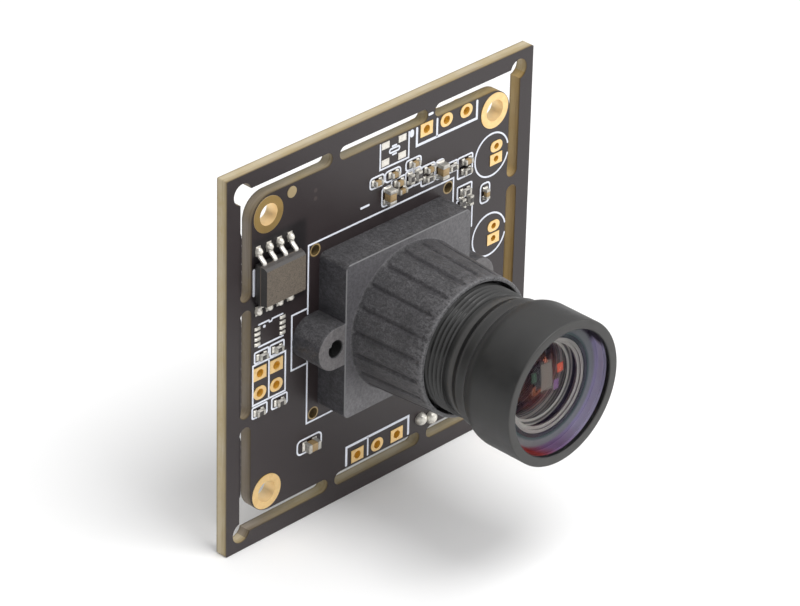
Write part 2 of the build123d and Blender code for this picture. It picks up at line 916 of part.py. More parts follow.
def connector_tabs():
    """Bent solder tabs that hold the connector down at both ends."""
    width, mouth, middle = connector_frame()
    tabs = []
    for side in (-1, 1):
        foot = connector_box(middle, side * (width + connector_tab_width) / 2, connector_tab_length, connector_tab_width)
        plate = connector_box(middle, side * (width + contact_foot_height) / 2, connector_tab_length, contact_foot_height)
        tab = on_rear(foot, copper_thickness, contact_foot_height)
        tabs.append(tab + on_rear(plate, copper_thickness, connector_tab_height))
    return tabs


def connector_pads():
    """Pads under the connector's tails and tabs."""
    width, mouth, middle = connector_frame()
    back = mouth - connector_depth
    pads = [
        connector_box(back - contact_tail / 2 - chip_pad_margin, up, contact_tail, contact_width + chip_pad_margin)
        for up in contact_places()
    ]
    for side in (-1, 1):
        up = side * (width + connector_tab_width + chip_pad_margin) / 2
        pads.append(connector_box(middle, up, connector_tab_length + chip_pad_margin, connector_tab_width))
    return pads


def rear_pads():
    """Every surface pad on the back."""
    rows = chip_rows(rear_small_capacitors + rear_resistors, rear_large_capacitors)
    pads = chip_pads(rows)
    pads += [box_at(middle, across, along) for middle, across, along in processor_pad_places()]
    pads += [box_at(place, lead_width + chip_pad_margin, regulator_lead_reach + chip_pad_margin)
             for place in regulator_lead_places()]
    pads += connector_pads()
    for side in (-1, 1):
        x = coil_middle[0] + side * (coil_side - coil_terminal_length + chip_pad_margin) / 2
        pads.append(box_at((x, coil_middle[1]), coil_terminal_length, coil_terminal_width))
        for end in (-1, 1):
            place = (
                crystal_middle[0] + side * (crystal_width - crystal_pad) / 2,
                crystal_middle[1] + end * (crystal_depth - crystal_pad) / 2,
            )
            pads.append(box_at(place, crystal_pad + chip_pad_margin, crystal_pad + chip_pad_margin))
    return [on_rear(pad, 0, copper_thickness) for pad in pads]


def nodes():
    """Every node by name."""
    capacitors = chip_rows(front_small_capacitors, front_large_capacitors)
    resistors = chip_rows(front_resistors, [])
    hidden_capacitors = chip_rows(rear_small_capacitors, rear_large_capacitors)
    hidden_resistors = chip_rows(rear_resistors, [])
    return {
        "circuit_board": circuit_board(),
        "mounting_hole_plating": mounting_hole_plating(),
        "pin_hole_plating": [plated_hole(*hole) for hole in pin_holes()],
        "front_pads": front_pads(),
        "rear_pads": rear_pads(),
        "lens_holder": lens_holder(),
        "holder_screws": holder_screws(),
        "sensor_package": sensor_package(),
        "sensor_die": sensor_die(),
        "sensor_cover_glass": sensor_cover_glass(),
        "infrared_filter": infrared_filter(),
        "lens_barrel": lens_barrel(),
        **rear_group(),
        **front_group(),
        "flash_memory": flash_memory(),
        "flash_memory_leads": flash_leads(),
        "front_capacitors": chip_bodies(capacitors, on_front),
        "front_capacitor_terminals": chip_terminals(capacitors, on_front),
        "front_resistors": chip_bodies(resistors, on_front),
        "front_resistor_terminals": chip_terminals(resistors, on_front),
        "solder_blobs": solder_blobs(),
        "image_processor": image_processor(),
        "crystal_base": crystal_base(),
        "crystal_can": crystal_can(),
        "regulators": regulator_bodies(),
        "regulator_leads": regulator_leads(),
        "power_coil": power_coil(),
        "coil_terminals": coil_terminals(),
        "connector_housing": connector_housing(),
        "connector_pins": connector_pins(),
        "connector_tabs": connector_tabs(),
        "rear_capacitors": chip_bodies(hidden_capacitors, on_rear),
        "rear_capacitor_terminals": chip_terminals(hidden_capacitors, on_rear),
        "rear_resistors": chip_bodies(hidden_resistors, on_rear),
        "rear_resistor_terminals": chip_terminals(hidden_resistors, on_rear),
    }


os.makedirs("parts", exist_ok=True)
for node, solids in nodes().items():
    save(node, solids)
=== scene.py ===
import math
from functools import partial

import bpy
import numpy as np
from mathutils import Matrix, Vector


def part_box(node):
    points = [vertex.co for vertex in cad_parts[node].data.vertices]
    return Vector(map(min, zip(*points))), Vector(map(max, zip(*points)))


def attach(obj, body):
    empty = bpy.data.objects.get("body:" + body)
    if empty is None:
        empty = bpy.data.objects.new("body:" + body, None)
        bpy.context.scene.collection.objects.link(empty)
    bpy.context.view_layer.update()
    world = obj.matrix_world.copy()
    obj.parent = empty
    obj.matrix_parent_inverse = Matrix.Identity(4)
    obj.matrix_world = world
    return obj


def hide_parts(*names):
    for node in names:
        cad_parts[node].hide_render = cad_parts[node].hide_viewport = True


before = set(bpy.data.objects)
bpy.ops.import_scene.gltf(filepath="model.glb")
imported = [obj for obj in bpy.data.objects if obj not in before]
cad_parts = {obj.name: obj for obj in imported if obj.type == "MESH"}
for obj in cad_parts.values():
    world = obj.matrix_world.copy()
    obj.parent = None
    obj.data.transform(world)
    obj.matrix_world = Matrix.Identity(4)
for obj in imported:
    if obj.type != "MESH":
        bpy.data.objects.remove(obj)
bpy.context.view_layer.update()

# Board camera with a screw-in lens. Sizes are in millimetres here, and mm turns them into metres.
# x runs right and z up on the board; "out" is the distance in front of the board's front face.

mm = 0.001
fullTurn = 2 * math.pi


def nodeBox(name):
    # lowest and highest corner of a CAD node as (x, out, z)
    low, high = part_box(name)
    return np.array([low[0], -high[1], low[2]]) / mm, np.array([high[0], -low[1], high[2]]) / mm


def nodeSolids(name):
    # boxes of a node's separate solids: corners that coincide or share a triangle take their lowest label
    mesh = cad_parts[name].data
    points = np.empty(len(mesh.vertices) * 3, np.float32)
    mesh.vertices.foreach_get("co", points)
    points = points.reshape(-1, 3) / mm * (1, -1, 1)
    places, which = np.unique(np.round(points, 3), axis=0, return_inverse=True)
    corners = np.empty(len(mesh.loops), np.int32)
    mesh.loops.foreach_get("vertex_index", corners)
    triangles = which.ravel()[corners].reshape(-1, 3)
    label = np.arange(len(places))
    while True:
        lowest = label.copy()
        np.minimum.at(lowest, triangles.ravel(), np.repeat(label[triangles].min(1), 3))
        lowest = lowest[lowest]
        if (lowest == label).all():
            break
        label = lowest
    solids, member = np.unique(label, return_inverse=True)
    low = np.full((len(solids), 3), np.inf)
    high = -low
    np.minimum.at(low, member.ravel(), places)
    np.maximum.at(high, member.ravel(), places)
    return low, high


# Meshes: every new piece is one or more closed shells of points, quads and triangles


def place(x, out, z):
    # x, distance in front of the board and z become points of the row frame
    x, out, z = np.broadcast_arrays(x, out, z)
    return np.stack([x, -out, z], -1).astype(float)


def gridQuads(rows, columns, closeRows, closeColumns):
    # a quad joins each grid point to its neighbours one row and one column on
    row = np.arange(rows if closeRows else rows - 1)[:, None]
    column = np.arange(columns if closeColumns else columns - 1)[None, :]
    nextRow, nextColumn = (row + 1) % rows, (column + 1) % columns
    corners = (row * columns + column, row * columns + nextColumn,
               nextRow * columns + nextColumn, nextRow * columns + column)
    return np.stack(np.broadcast_arrays(*corners), -1).reshape(-1, 4)


def facingOut(points, quads, triangles):
    # the sum of corner . (next corner x last corner) is six times the volume; below 0 the faces turn round
    faces = np.concatenate([quads[:, [0, 1, 2]], quads[:, [0, 2, 3]], triangles])
    first, second, third = np.moveaxis(points[faces], 1, 0)
    volume = np.einsum("ij,ij->", first, np.cross(second, third))
    return (points, quads, triangles) if volume > 0 else (points, quads[:, ::-1], triangles[:, ::-1])


def ringShell(loops):
    # loops[j, n]: section point j at turn n; the grid closes both ways, like a tyre
    rows, columns = loops.shape[:2]
    return facingOut(loops.reshape(-1, 3), gridQuads(rows, columns, True, True), np.empty((0, 3), int))


def loftShell(loops):
    # closed loops[k, n] carried from one end to the other; a fan on its middle closes each end
    rows, columns = loops.shape[:2]
    points = np.concatenate([loops.reshape(-1, 3), loops[0].mean(0)[None], loops[-1].mean(0)[None]])
    here = np.arange(columns)
    after = (here + 1) % columns
    last = (rows - 1) * columns
    fans = [np.stack([np.full(columns, rows * columns), after, here], -1),
            np.stack([np.full(columns, rows * columns + 1), last + here, last + after], -1)]
    return facingOut(points, gridQuads(rows, columns, False, True), np.concatenate(fans))


def turnedLoops(radius, out, count):
    # radius and out, each [j] or [j, n], carried round the optical axis in count equal steps
    turn = np.arange(count) / count * fullTurn
    radius = np.asarray(radius, float)
    out = np.asarray(out, float)
    radius = radius[:, None] if radius.ndim == 1 else radius
    out = out[:, None] if out.ndim == 1 else out
    return place(radius * np.cos(turn), out, radius * np.sin(turn))


def makePiece(name, shells, body, finishes, replaced=(), sharpAngle=35):
    # joins shells into one smooth mesh with sharp edges past the angle
    starts = np.cumsum([0] + [len(shell[0]) for shell in shells])[:-1]
    points = np.concatenate([shell[0] for shell in shells])
    quads = np.concatenate([shell[1] + start for shell, start in zip(shells, starts)])
    triangles = np.concatenate([shell[2] + start for shell, start in zip(shells, starts)])
    corners = np.concatenate([quads.ravel(), triangles.ravel()]).astype(np.int32)
    faceStarts = np.concatenate([np.arange(len(quads)) * 4, len(quads) * 4 + np.arange(len(triangles)) * 3])
    mesh = bpy.data.meshes.new(name)
    mesh.vertices.add(len(points))
    mesh.vertices.foreach_set("co", (points * mm).astype(np.float32).ravel())
    mesh.loops.add(len(corners))
    mesh.loops.foreach_set("vertex_index", corners)
    mesh.polygons.add(len(faceStarts))
    mesh.polygons.foreach_set("loop_start", faceStarts.astype(np.int32))
    mesh.polygons.foreach_set("use_smooth", np.ones(len(faceStarts), bool))
    for finish in finishes:
        mesh.materials.append(finish)
    mesh.update(calc_edges=True)
    mesh.set_sharp_from_angle(angle=math.radians(sharpAngle))
    piece = bpy.data.objects.new(name, mesh)
    bpy.context.scene.collection.objects.link(piece)
    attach(piece, body)
    if replaced:
        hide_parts(*replaced)
    return piece


# Finishes: all patterns are laid out in millimetres of the object's own space


def newFinish(name, colour, roughness, metallic=0.0, ior=1.5):
    # a principled shader with plain starting values, and its node tree
    finish = bpy.data.materials.new(name)
    finish.use_nodes = True
    shader = finish.node_tree.nodes["Principled BSDF"]
    shader.inputs["Base Color"].default_value = (*colour, 1)
    shader.inputs["Roughness"].default_value = roughness
    shader.inputs["Metallic"].default_value = metallic
    shader.inputs["IOR"].default_value = ior
    return finish, finish.node_tree


def feed(socket, value):
    # links a socket to a socket, or sets a plain value
    if isinstance(value, bpy.types.NodeSocket):
        socket.id_data.links.new(value, socket)
    elif value is not None:
        socket.default_value = value


def space(tree, stretch=(1, 1, 1)):
    # object coordinates in millimetres, stretched along each axis
    coordinates = tree.nodes.new("ShaderNodeTexCoord")
    mapping = tree.nodes.new("ShaderNodeMapping")
    mapping.inputs["Scale"].default_value = [factor / mm for factor in stretch]
    feed(mapping.inputs["Vector"], coordinates.outputs["Object"])
    return mapping.outputs["Vector"]


def noise(where, scale, detail=2.0, roughness=0.5):
    texture = where.id_data.nodes.new("ShaderNodeTexNoise")
    texture.inputs["Scale"].default_value = scale
    texture.inputs["Detail"].default_value = detail
    texture.inputs["Roughness"].default_value = roughness
    feed(texture.inputs["Vector"], where)
    return texture.outputs["Fac"]


def maths(operation, first, second=None):
    step = first.id_data.nodes.new("ShaderNodeMath")
    step.operation = operation
    feed(step.inputs[0], first)
    feed(step.inputs[1], second)
    return step.outputs[0]


times, plus, minus, above, below, larger, smaller, absolute = (partial(maths, operation) for operation in (
    "MULTIPLY", "ADD", "SUBTRACT", "GREATER_THAN", "LESS_THAN", "MAXIMUM", "MINIMUM", "ABSOLUTE"))


def spread(value, low, high, newLow=0.0, newHigh=1.0):
    # carries low...high onto newLow...newHigh and holds it there
    step = value.id_data.nodes.new("ShaderNodeMapRange")
    for socket, number in zip(step.inputs, (value, low, high, newLow, newHigh)):
        feed(socket, number)
    return step.outputs[0]


def blend(share, first, second, kind="MIX"):
    # the MULTIPLY kind shades the first tone by the second, as far as share says
    source = next(part for part in (share, first, second) if isinstance(part, bpy.types.NodeSocket))
    step = source.id_data.nodes.new("ShaderNodeMix")
    step.data_type = "RGBA"
    step.blend_type = kind
    feed(step.inputs[0], share)
    for socket, colour in ((step.inputs[6], first), (step.inputs[7], second)):
        feed(socket, colour if isinstance(colour, bpy.types.NodeSocket) else (*colour, 1))
    return step.outputs[2]


def axes(where):
    parts = where.id_data.nodes.new("ShaderNodeSeparateXYZ")
    feed(parts.inputs[0], where)
    return parts.outputs


def faceTilt(tree):
    # parts of the surface normal in the object's own space
    coordinates = tree.nodes.new("ShaderNodeTexCoord")
    return axes(coordinates.outputs["Normal"])


def away(value, level):
    # distance of a value from a level
    return absolute(minus(value, level))


def distance(x, z):
    # from the optical axis to a point at x, z
    return maths("SQRT", plus(times(x, x), times(z, z)))


def distanceTo(where, centre):
    step = where.id_data.nodes.new("ShaderNodeVectorMath")
    step.operation = "DISTANCE"
    feed(step.inputs[0], where)
    step.inputs[1].default_value = centre
    return step.outputs["Value"]


def coat(finish, tone, rough=None, height=None, depth=0.0):
    # gives a finish its colour and roughness, and from a height of 0 to 1 a relief of that depth
    shader = finish.node_tree.nodes["Principled BSDF"]
    feed(shader.inputs["Base Color"], tone)
    feed(shader.inputs["Roughness"], rough)
    if height is not None:
        bump = finish.node_tree.nodes.new("ShaderNodeBump")
        bump.inputs["Distance"].default_value = depth * mm
        feed(bump.inputs["Height"], height)
        feed(shader.inputs["Normal"], bump.outputs[0])
    return finish


def maskFinish():
    # dark solder mask on both faces; the cut edges show bare glass-fibre laminate in thin layers
    # a cut is olive brown at both faces and palest two thirds of the way to the rear
    look = {"mask": (0.019, 0.0125, 0.0135), "maskLight": (0.032, 0.024, 0.0245),
            "laminate": (0.50, 0.43, 0.30), "laminateDark": (0.27, 0.205, 0.115),
            "front": (0.12, 0.085, 0.04), "yellow": (0.40, 0.30, 0.12),
            "paintedWallShadeLeft": (0.56, 0.56, 0.66), "paintedWallShadeMiddle": (0.82, 0.84, 0.88),
            "paintedWallShadeRight": (0.92, 0.80, 0.55), "slotReach": 18.0, "holeRadius": 0.56,
            "holeRim": (0.30, 0.21, 0.09), "paintedHoleShade": (0.10, 0.065, 0.02), "holes": (8.35, 0, 8.35),
            "via": (0.06, 0.045, 0.042), "vias": ((-8.4, 0, 14.3), (-8.4, 0, 13.5)),
            "chipMiddle": (-12.75, 8.2), "chipHalf": (3.0, 3.6), "paintedChipShadow": (0.32, 0.32, 0.36),
            "maskRough": 0.42, "thickness": 1.25}
    finish, tree = newFinish("solderMask", look["mask"], look["maskRough"])
    where = space(tree)
    mottle = spread(noise(where, 0.35, 5, 0.65), 0.35, 0.7)
    speck = spread(noise(where, 9, 2), 0.45, 0.75)
    mask = blend(times(mottle, speck), look["mask"], look["maskLight"])
    flat = space(tree, (1, 0, 1))
    folded = tree.nodes.new("ShaderNodeVectorMath")
    folded.operation = "ABSOLUTE"
    feed(folded.inputs[0], flat)
    fromHole = distanceTo(folded.outputs[0], look["holes"])
    mask = blend(spread(fromHole, 0.60, 0.66, 1, 0), mask, look["holeRim"])
    for spot in look["vias"]:
        mask = blend(spread(distanceTo(flat, spot), 0.16, 0.26, 0.7, 0), mask, look["via"])
    x, y, z = axes(flat)
    tilt = faceTilt(tree)[1]
    # painted shadow: the front face of the mask is darkened round the memory chip
    paintedShadowBesideChip = times(*(
        spread(away(part, middle), half, half + 0.5, 1, 0)
        for part, middle, half in zip((x, z), look["chipMiddle"], look["chipHalf"])))
    paintedShadowBesideChip = times(paintedShadowBesideChip, below(tilt, 0.0))
    mask = blend(paintedShadowBesideChip, mask, look["paintedChipShadow"], "MULTIPLY")
    layers = noise(space(tree, (0.35, 9, 0.35)), 1.0, 4, 0.6)
    weave = noise(space(tree, (1.5, 3, 1.5)), 1.3, 3)
    depth = axes(where)[1]
    pale = spread(plus(spread(depth, 0.12, 0.8, 0, 0.55), layers), 0.45, 1.0)
    cut = blend(pale, look["laminateDark"], look["laminate"])
    stain = spread(noise(where, 0.16, 3, 0.6), 0.4, 0.62)
    cut = blend(times(stain, weave), cut, look["yellow"])
    frontLine = spread(depth, 0.03, 0.2, 1, 0)
    rearLine = spread(depth, look["thickness"] - 0.2, look["thickness"] - 0.03, 0, 0.6)
    cut = blend(larger(frontLine, rearLine), cut, look["front"])
    reach = larger(absolute(x), absolute(z))
    # painted shade on the slot walls inside the outer edge: darkest and bluish at the left, warmer at the
    # right
    side = blend(spread(x, -16, -9), look["paintedWallShadeLeft"], look["paintedWallShadeMiddle"])
    side = blend(spread(x, 11, 16), side, look["paintedWallShadeRight"])
    cut = blend(below(reach, look["slotReach"]), cut, side, "MULTIPLY")
    # painted shade: the walls of the location holes are dark brown
    cut = blend(below(fromHole, look["holeRadius"]), cut, look["paintedHoleShade"])
    onFace = above(absolute(tilt), 0.5)
    tone = blend(onFace, cut, mask)
    rough = plus(spread(onFace, 0, 1, 0.62, look["maskRough"]), spread(mottle, 0, 1, -0.04, 0.05))
    return coat(finish, tone, rough, plus(speck, layers), 0.003)


def goldFinish():
    # immersion gold: a satin film with faint cloudy patches and fine grain; round the top left mounting hole
    # a painted dark reflection turns it olive
    look = {"gold": (0.93, 0.67, 0.33), "dull": (0.84, 0.59, 0.28), "pinWall": (0.90, 0.64, 0.16),
            "wall": (0.98, 0.80, 0.50), "paintedDarkReflection": (0.50, 0.34, 0.13), "corner": (-14.1, 0, 14.1), "pads": 13.2}
    finish, tree = newFinish("immersionGold", look["gold"], 0.45, 1.0)
    where = space(tree)
    cloud = spread(noise(where, 1.6, 4, 0.6), 0.35, 0.7)
    onWall = below(absolute(faceTilt(tree)[1]), 0.5)
    tone = blend(cloud, look["gold"], look["dull"])
    flat = space(tree, (1, 0, 1))
    # painted reflection: the gold round the top left mounting hole is darkened to olive
    fromCorner = distanceTo(flat, look["corner"])
    tone = blend(spread(fromCorner, 1.7, 2.0, 1, 0), tone, look["paintedDarkReflection"])
    x, y, z = axes(flat)
    inCorner = above(smaller(absolute(x), absolute(z)), look["pads"] - 0.5)
    tone = blend(onWall, tone, blend(inCorner, look["pinWall"], look["wall"]))
    rough = plus(spread(cloud, 0, 1, 0.42, 0.52), times(onWall, 0.12))
    return coat(finish, tone, rough, noise(where, 2.5, 2), 0.003)


def tinFinish(name, colour, metallic, smoothest, roughest):
    # tin or solder, slightly wavy
    finish, tree = newFinish(name, colour, smoothest, metallic)
    where = space(tree)
    ripple = noise(where, 3.5, 4, 0.6)
    dull = tuple(0.72 * part for part in colour)
    tone = blend(spread(ripple, 0.4, 0.65), colour, dull)
    rough = spread(ripple, 0.3, 0.7, smoothest, roughest)
    return coat(finish, tone, rough, noise(where, 1.6, 1), 0.02)


def holderFinish():
    # moulded plastic, fine grained in cloudy patches; painted shade darkens the flutes and the left-facing
    # sides, and the tower's end is scuffed the foot's front face carries a patchy painted sheen, lightest low
    # down, darkest at the upper left and with its own tone on the ears, with painted highlights on its edges
    # and painted shade in the screw holes
    look = {"plastic": (0.026, 0.0255, 0.028), "pale": (0.098, 0.095, 0.100), "scuffed": (0.15, 0.146, 0.152),
            "rim": (0.16, 0.16, 0.165), "edge": (0.16, 0.16, 0.165), "towerTop": 11.6, "rimWidth": 0.3,
            "flutes": 20, "paintedFluteShade": (0.66, 0.65, 0.67), "paintedLeftSideShade": (0.72, 0.72, 0.76),
            "footHalf": 7.82, "footTop": 3.4, "paintedSheenLow": (0.185, 0.180, 0.188),
            "paintedSheenLeft": (0.082, 0.079, 0.086), "paintedSheenRight": (0.128, 0.124, 0.130),
            "ear": (0.14, 0.132, 0.134), "earX": 9.0, "earHole": 0.84, "hole": (0.004, 0.004, 0.004)}
    top = look["towerTop"]
    finish, tree = newFinish("holderPlastic", look["plastic"], 0.5, ior=1.46)
    where = space(tree)
    x, y, z = axes(where)
    height = times(y, -1.0)
    cloud = spread(noise(where, 0.5, 5, 0.6), 0.3, 0.75)
    grain = noise(where, 7, 3, 0.7)
    fleck = times(spread(cloud, 0, 1, 0.35, 1), spread(grain, 0.36, 0.62, 0.15, 1.0))
    tone = blend(fleck, look["plastic"], look["pale"])
    patches = noise(space(tree, (1, 0.6, 1)), 3.8, 4, 0.7)
    tone = blend(1.0, tone, spread(patches, 0.4, 0.6, 0.76, 1.28), "MULTIPLY")
    turns = times(maths("ARCTAN2", z, x), look["flutes"] / fullTurn)
    besideFlute = away(maths("FRACT", plus(turns, look["flutes"])), 0.5)
    # painted shade in the flutes
    onTower = times(spread(height, 3.5, 3.9), spread(height, top - 0.7, top - 0.3, 1, 0))
    paintedFluteShare = times(onTower, spread(besideFlute, 0.03, 0.2, 1, 0))
    tone = blend(paintedFluteShare, tone, look["paintedFluteShade"], "MULTIPLY")
    rubbed = times(spread(height, top - 2.0, top, 0.0, 0.6), spread(patches, 0.42, 0.56))
    tone = blend(rubbed, tone, look["scuffed"])
    scuff = spread(noise(space(tree, (1, 0.4, 1)), 5, 4, 0.8), 0.45, 0.62)
    tone = blend(times(spread(height, top - look["rimWidth"], top), scuff), tone, look["rim"])
    reach = larger(absolute(x), absolute(z))
    tilt = faceTilt(tree)
    onFoot = times(below(away(height, look["footTop"]), 0.04), below(tilt[1], -0.8))
    # painted shade on the left-facing sides below the foot's top
    onSide = times(below(tilt[0], -0.9), below(height, look["footTop"]))
    tone = blend(onSide, tone, look["paintedLeftSideShade"], "MULTIPLY")
    # painted sheen on the foot's front face: lightest low down, less at the right, darkest at the upper left,
    # with its own tone on the ears
    paintedFootSheen = blend(spread(z, -6.8, -3.2), look["paintedSheenLow"], look["paintedSheenLeft"])
    paintedFootSheen = blend(spread(plus(x, z), -1, 13), paintedFootSheen, look["paintedSheenRight"])
    paintedFootSheen = blend(above(reach, look["footHalf"] + 0.1), paintedFootSheen, look["ear"])
    paintedFootSheen = blend(1.0, paintedFootSheen, spread(patches, 0.4, 0.6, 0.84, 1.14), "MULTIPLY")
    # this noise makes the painted sheen patchy
    worn = spread(noise(where, 1.6, 6, 0.75), 0.35, 0.65, 0.6, 1.0)
    tone = blend(times(onFoot, worn), tone, paintedFootSheen)
    # painted highlight along the top edges of the foot
    nearSide = spread(away(reach, look["footHalf"]), 0.06, 0.12, 1, 0)
    nearTop = spread(away(height, look["footTop"]), 0.05, 0.11, 1, 0)
    tone = blend(times(nearSide, nearTop), tone, look["edge"])
    # painted shade: the screw holes in the ears are nearly black
    fromHole = distance(minus(absolute(x), look["earX"]), z)
    tone = blend(below(fromHole, look["earHole"]), tone, look["hole"])
    scratches = noise(space(tree, (1, 0.25, 1)), 2.6, 5, 0.75)
    return coat(finish, tone, spread(grain, 0.3, 0.7, 0.44, 0.6), plus(grain, scratches), 0.035)


inkLook = {"ink": (0.72, 0.66, 0.92), "dark": (0.03, 0.018, 0.04), "paintedPurpleReflection": (0.42, 0.25, 0.50),
           "paintedRedReflection": (0.50, 0.04, 0.028)}


def inkTone(where):
    # lavender ink round the front glass, with painted shade at the upper right and painted reflections,
    # purple and then red, towards the low left
    x, y, z = axes(where)
    height = minus(z, times(x, 0.45))
    tone = blend(spread(height, -0.4, 0.5), inkLook["ink"], inkLook["dark"])
    across = plus(x, z)
    tone = blend(spread(across, -5.0, -1.6, 1, 0), tone, inkLook["paintedPurpleReflection"])
    return blend(spread(across, -7.5, -5.8, 1, 0), tone, inkLook["paintedRedReflection"])


def barrelFinish():
    # matt black anodising with faint turning rings and painted light on the upward faces; painted light makes
    # the grooves paler, and the front rim is paler the wall inside is dead black, tinted beside the front
    # glass by the ink on its edge, which painted shade darkens there
    look = {"anodised": (0.0135, 0.0135, 0.0133), "worn": (0.026, 0.026, 0.025),
            "paintedTopLight": (0.055, 0.054, 0.054), "rim": (0.027, 0.026, 0.0245), "rimLevel": 22.25,
            "groove": (0.066, 0.065, 0.064), "paintedLightGrooves": ((14.55, 0.85, 0.9), (16.6, 0.7, 0.35)),
            "inside": (0.002, 0.002, 0.002), "wallRadius": 6.015, "bottom": 14.5,
            "inkLevel": 21.64, "paintedInkShade": (0.34, 0.34, 0.36)}
    finish, tree = newFinish("barrelAnodised", look["anodised"], 0.46, ior=1.53)
    where = space(tree)
    x, y, z = axes(where)
    level = times(y, -1.0)
    rings = noise(space(tree, (0.02, 11, 0.02)), 1.0, 3, 0.7)
    cloud = spread(noise(where, 0.8, 4, 0.6), 0.35, 0.75)
    tone = blend(times(rings, cloud), look["anodised"], look["worn"])
    # painted light: the upward-facing parts of the barrel are paler
    tone = blend(spread(faceTilt(tree)[2], 0.55, 0.95, 0, 0.35), tone, look["paintedTopLight"])
    # painted light: the waist groove and the shoulder are paler
    for grooveLevel, half, share in look["paintedLightGrooves"]:
        inGroove = spread(away(level, grooveLevel), half * 0.6, half, share, 0)
        tone = blend(inGroove, tone, look["groove"])
    tone = blend(above(level, look["rimLevel"]), tone, look["rim"])
    inner = times(below(distance(x, z), look["wallRadius"]), above(level, look["bottom"]))
    tone = blend(inner, tone, look["inside"])
    # painted shade on the ink beside the front glass
    inked = times(inner, below(away(level, look["inkLevel"]), 0.2))
    tone = blend(inked, tone, blend(1.0, inkTone(where), look["paintedInkShade"], "MULTIPLY"))
    return coat(finish, tone, spread(cloud, 0, 1, 0.42, 0.54), rings, 0.008)


def plainGrain(name, colour, roughness, metallic=0.0, scale=6.0, depth=0.01, shade=0.75):
    # one tone with its darker shade in clouds, and a fine grain
    finish, tree = newFinish(name, colour, roughness, metallic)
    where = space(tree)
    cloud = spread(noise(where, scale / 5, 4, 0.6), 0.3, 0.7)
    grain = noise(where, scale, 3, 0.6)
    tone = blend(cloud, colour, tuple(shade * part for part in colour))
    return coat(finish, tone, spread(grain, 0.3, 0.7, roughness - 0.06, roughness + 0.08), grain, depth)


def turnedFinish(name, pale, dark):
    # bare metal with turning marks: fine rings of pale and dark along the axis and outwards, the pale rings
    # being painted highlights
    finish, tree = newFinish(name, pale, 0.35)
    x, y, z = axes(space(tree))
    rings = tree.nodes.new("ShaderNodeTexNoise")
    rings.noise_dimensions = "1D"
    rings.inputs["Scale"].default_value = 2.6
    feed(rings.inputs["W"], plus(y, distance(x, z)))
    marks = rings.outputs["Fac"]
    return coat(finish, blend(spread(marks, 0.48, 0.56), dark, pale), spread(marks, 0.3, 0.7, 0.3, 0.45))


def chipFinish():
    # moulded epoxy: the flat face is matt brown with fine specks, the drafted sides are nearly black
    # a parting line runs round the middle of the sides; in front of it the sides are a shade lighter, and
    # painted light makes their upward-facing parts lighter still
    look = {"face": (0.165, 0.135, 0.102), "dark": (0.075, 0.062, 0.05), "side": (0.020, 0.019, 0.019),
            "upper": (0.024, 0.022, 0.022), "top": (0.062, 0.057, 0.055),
            "line": (0.17, 0.13, 0.10), "lineLevel": 0.9}
    line = look["lineLevel"]
    finish, tree = newFinish("epoxyMoulding", look["face"], 0.5)
    where = space(tree)
    specks = spread(noise(where, 11, 3, 0.7), 0.38, 0.62)
    cloud = spread(noise(where, 0.9, 3), 0.35, 0.7, 0, 0.5)
    face = blend(larger(specks, cloud), look["face"], look["dark"])
    onFace = above(absolute(faceTilt(tree)[1]), 0.9)
    level = absolute(axes(where)[1])
    # painted light: the upward-facing sides are lighter
    upper = blend(spread(faceTilt(tree)[2], 0.4, 0.6), look["upper"], look["top"])
    side = blend(spread(level, line - 0.03, line + 0.03), look["side"], upper)
    side = blend(spread(away(level, line), 0.02, 0.05, 0.6, 0), side, look["line"])
    tone = blend(onFace, side, face)
    rough = spread(specks, 0, 1, 0.46, 0.6)
    return coat(finish, tone, rough, specks, 0.008)


def padFinish():
    # levelled tin on flat pads; the round target is bare gold
    look = {"tin": (0.80, 0.77, 0.71), "dull": (0.66, 0.63, 0.57), "gold": (0.50, 0.39, 0.22),
            "target": (-11.3, 0, 15.25)}
    finish, tree = newFinish("levelledTin", look["tin"], 0.35, 0.6)
    where = space(tree)
    cloud = spread(noise(where, 3, 3), 0.35, 0.7)
    tone = blend(cloud, look["tin"], look["dull"])
    onTarget = below(distanceTo(where, look["target"]), 0.8)
    tone = blend(onTarget, tone, look["gold"])
    rough = spread(cloud, 0, 1, 0.3, 0.45)
    return coat(finish, tone, rough, noise(where, 1.5, 1), 0.006)


def resistorFinish():
    # black glaze on the outer face of a white ceramic chip
    finish, tree = newFinish("resistorGlaze", (0.012, 0.012, 0.013), 0.3)
    onFace = above(absolute(faceTilt(tree)[1]), 0.6)
    grain = noise(space(tree), 12, 2)
    ceramic = blend(grain, (0.62, 0.60, 0.56), (0.45, 0.43, 0.40))
    glaze = blend(grain, (0.024, 0.021, 0.020), (0.06, 0.052, 0.048))
    return coat(finish, blend(onFace, ceramic, glaze), None, grain, 0.01)


def coatedGlass(name, tint, clear=(0.97, 0.98, 0.98), ior=1.6, strength=0.4):
    # clear glass in front of other parts; its coated faces mirror the room in a tint, weakened by strength
    finish = bpy.data.materials.new(name)
    finish.use_nodes = True
    tree = finish.node_tree
    tree.nodes.clear()
    output = tree.nodes.new("ShaderNodeOutputMaterial")
    output.name = "Material Output"
    mixed = tree.nodes.new("ShaderNodeMixShader")
    through = tree.nodes.new("ShaderNodeBsdfTransparent")
    mirror = tree.nodes.new("ShaderNodeBsdfGlossy")
    fresnel = tree.nodes.new("ShaderNodeFresnel")
    through.inputs["Color"].default_value = (*clear, 1)
    mirror.inputs["Color"].default_value = (*tint, 1)
    mirror.inputs["Roughness"].default_value = 0.0
    fresnel.inputs["IOR"].default_value = ior
    feed(mixed.inputs[0], times(fresnel.outputs[0], strength))
    feed(mixed.inputs[1], through.outputs[0])
    feed(mixed.inputs[2], mirror.outputs[0])
    feed(output.inputs["Surface"], mixed.outputs[0])
    return finish


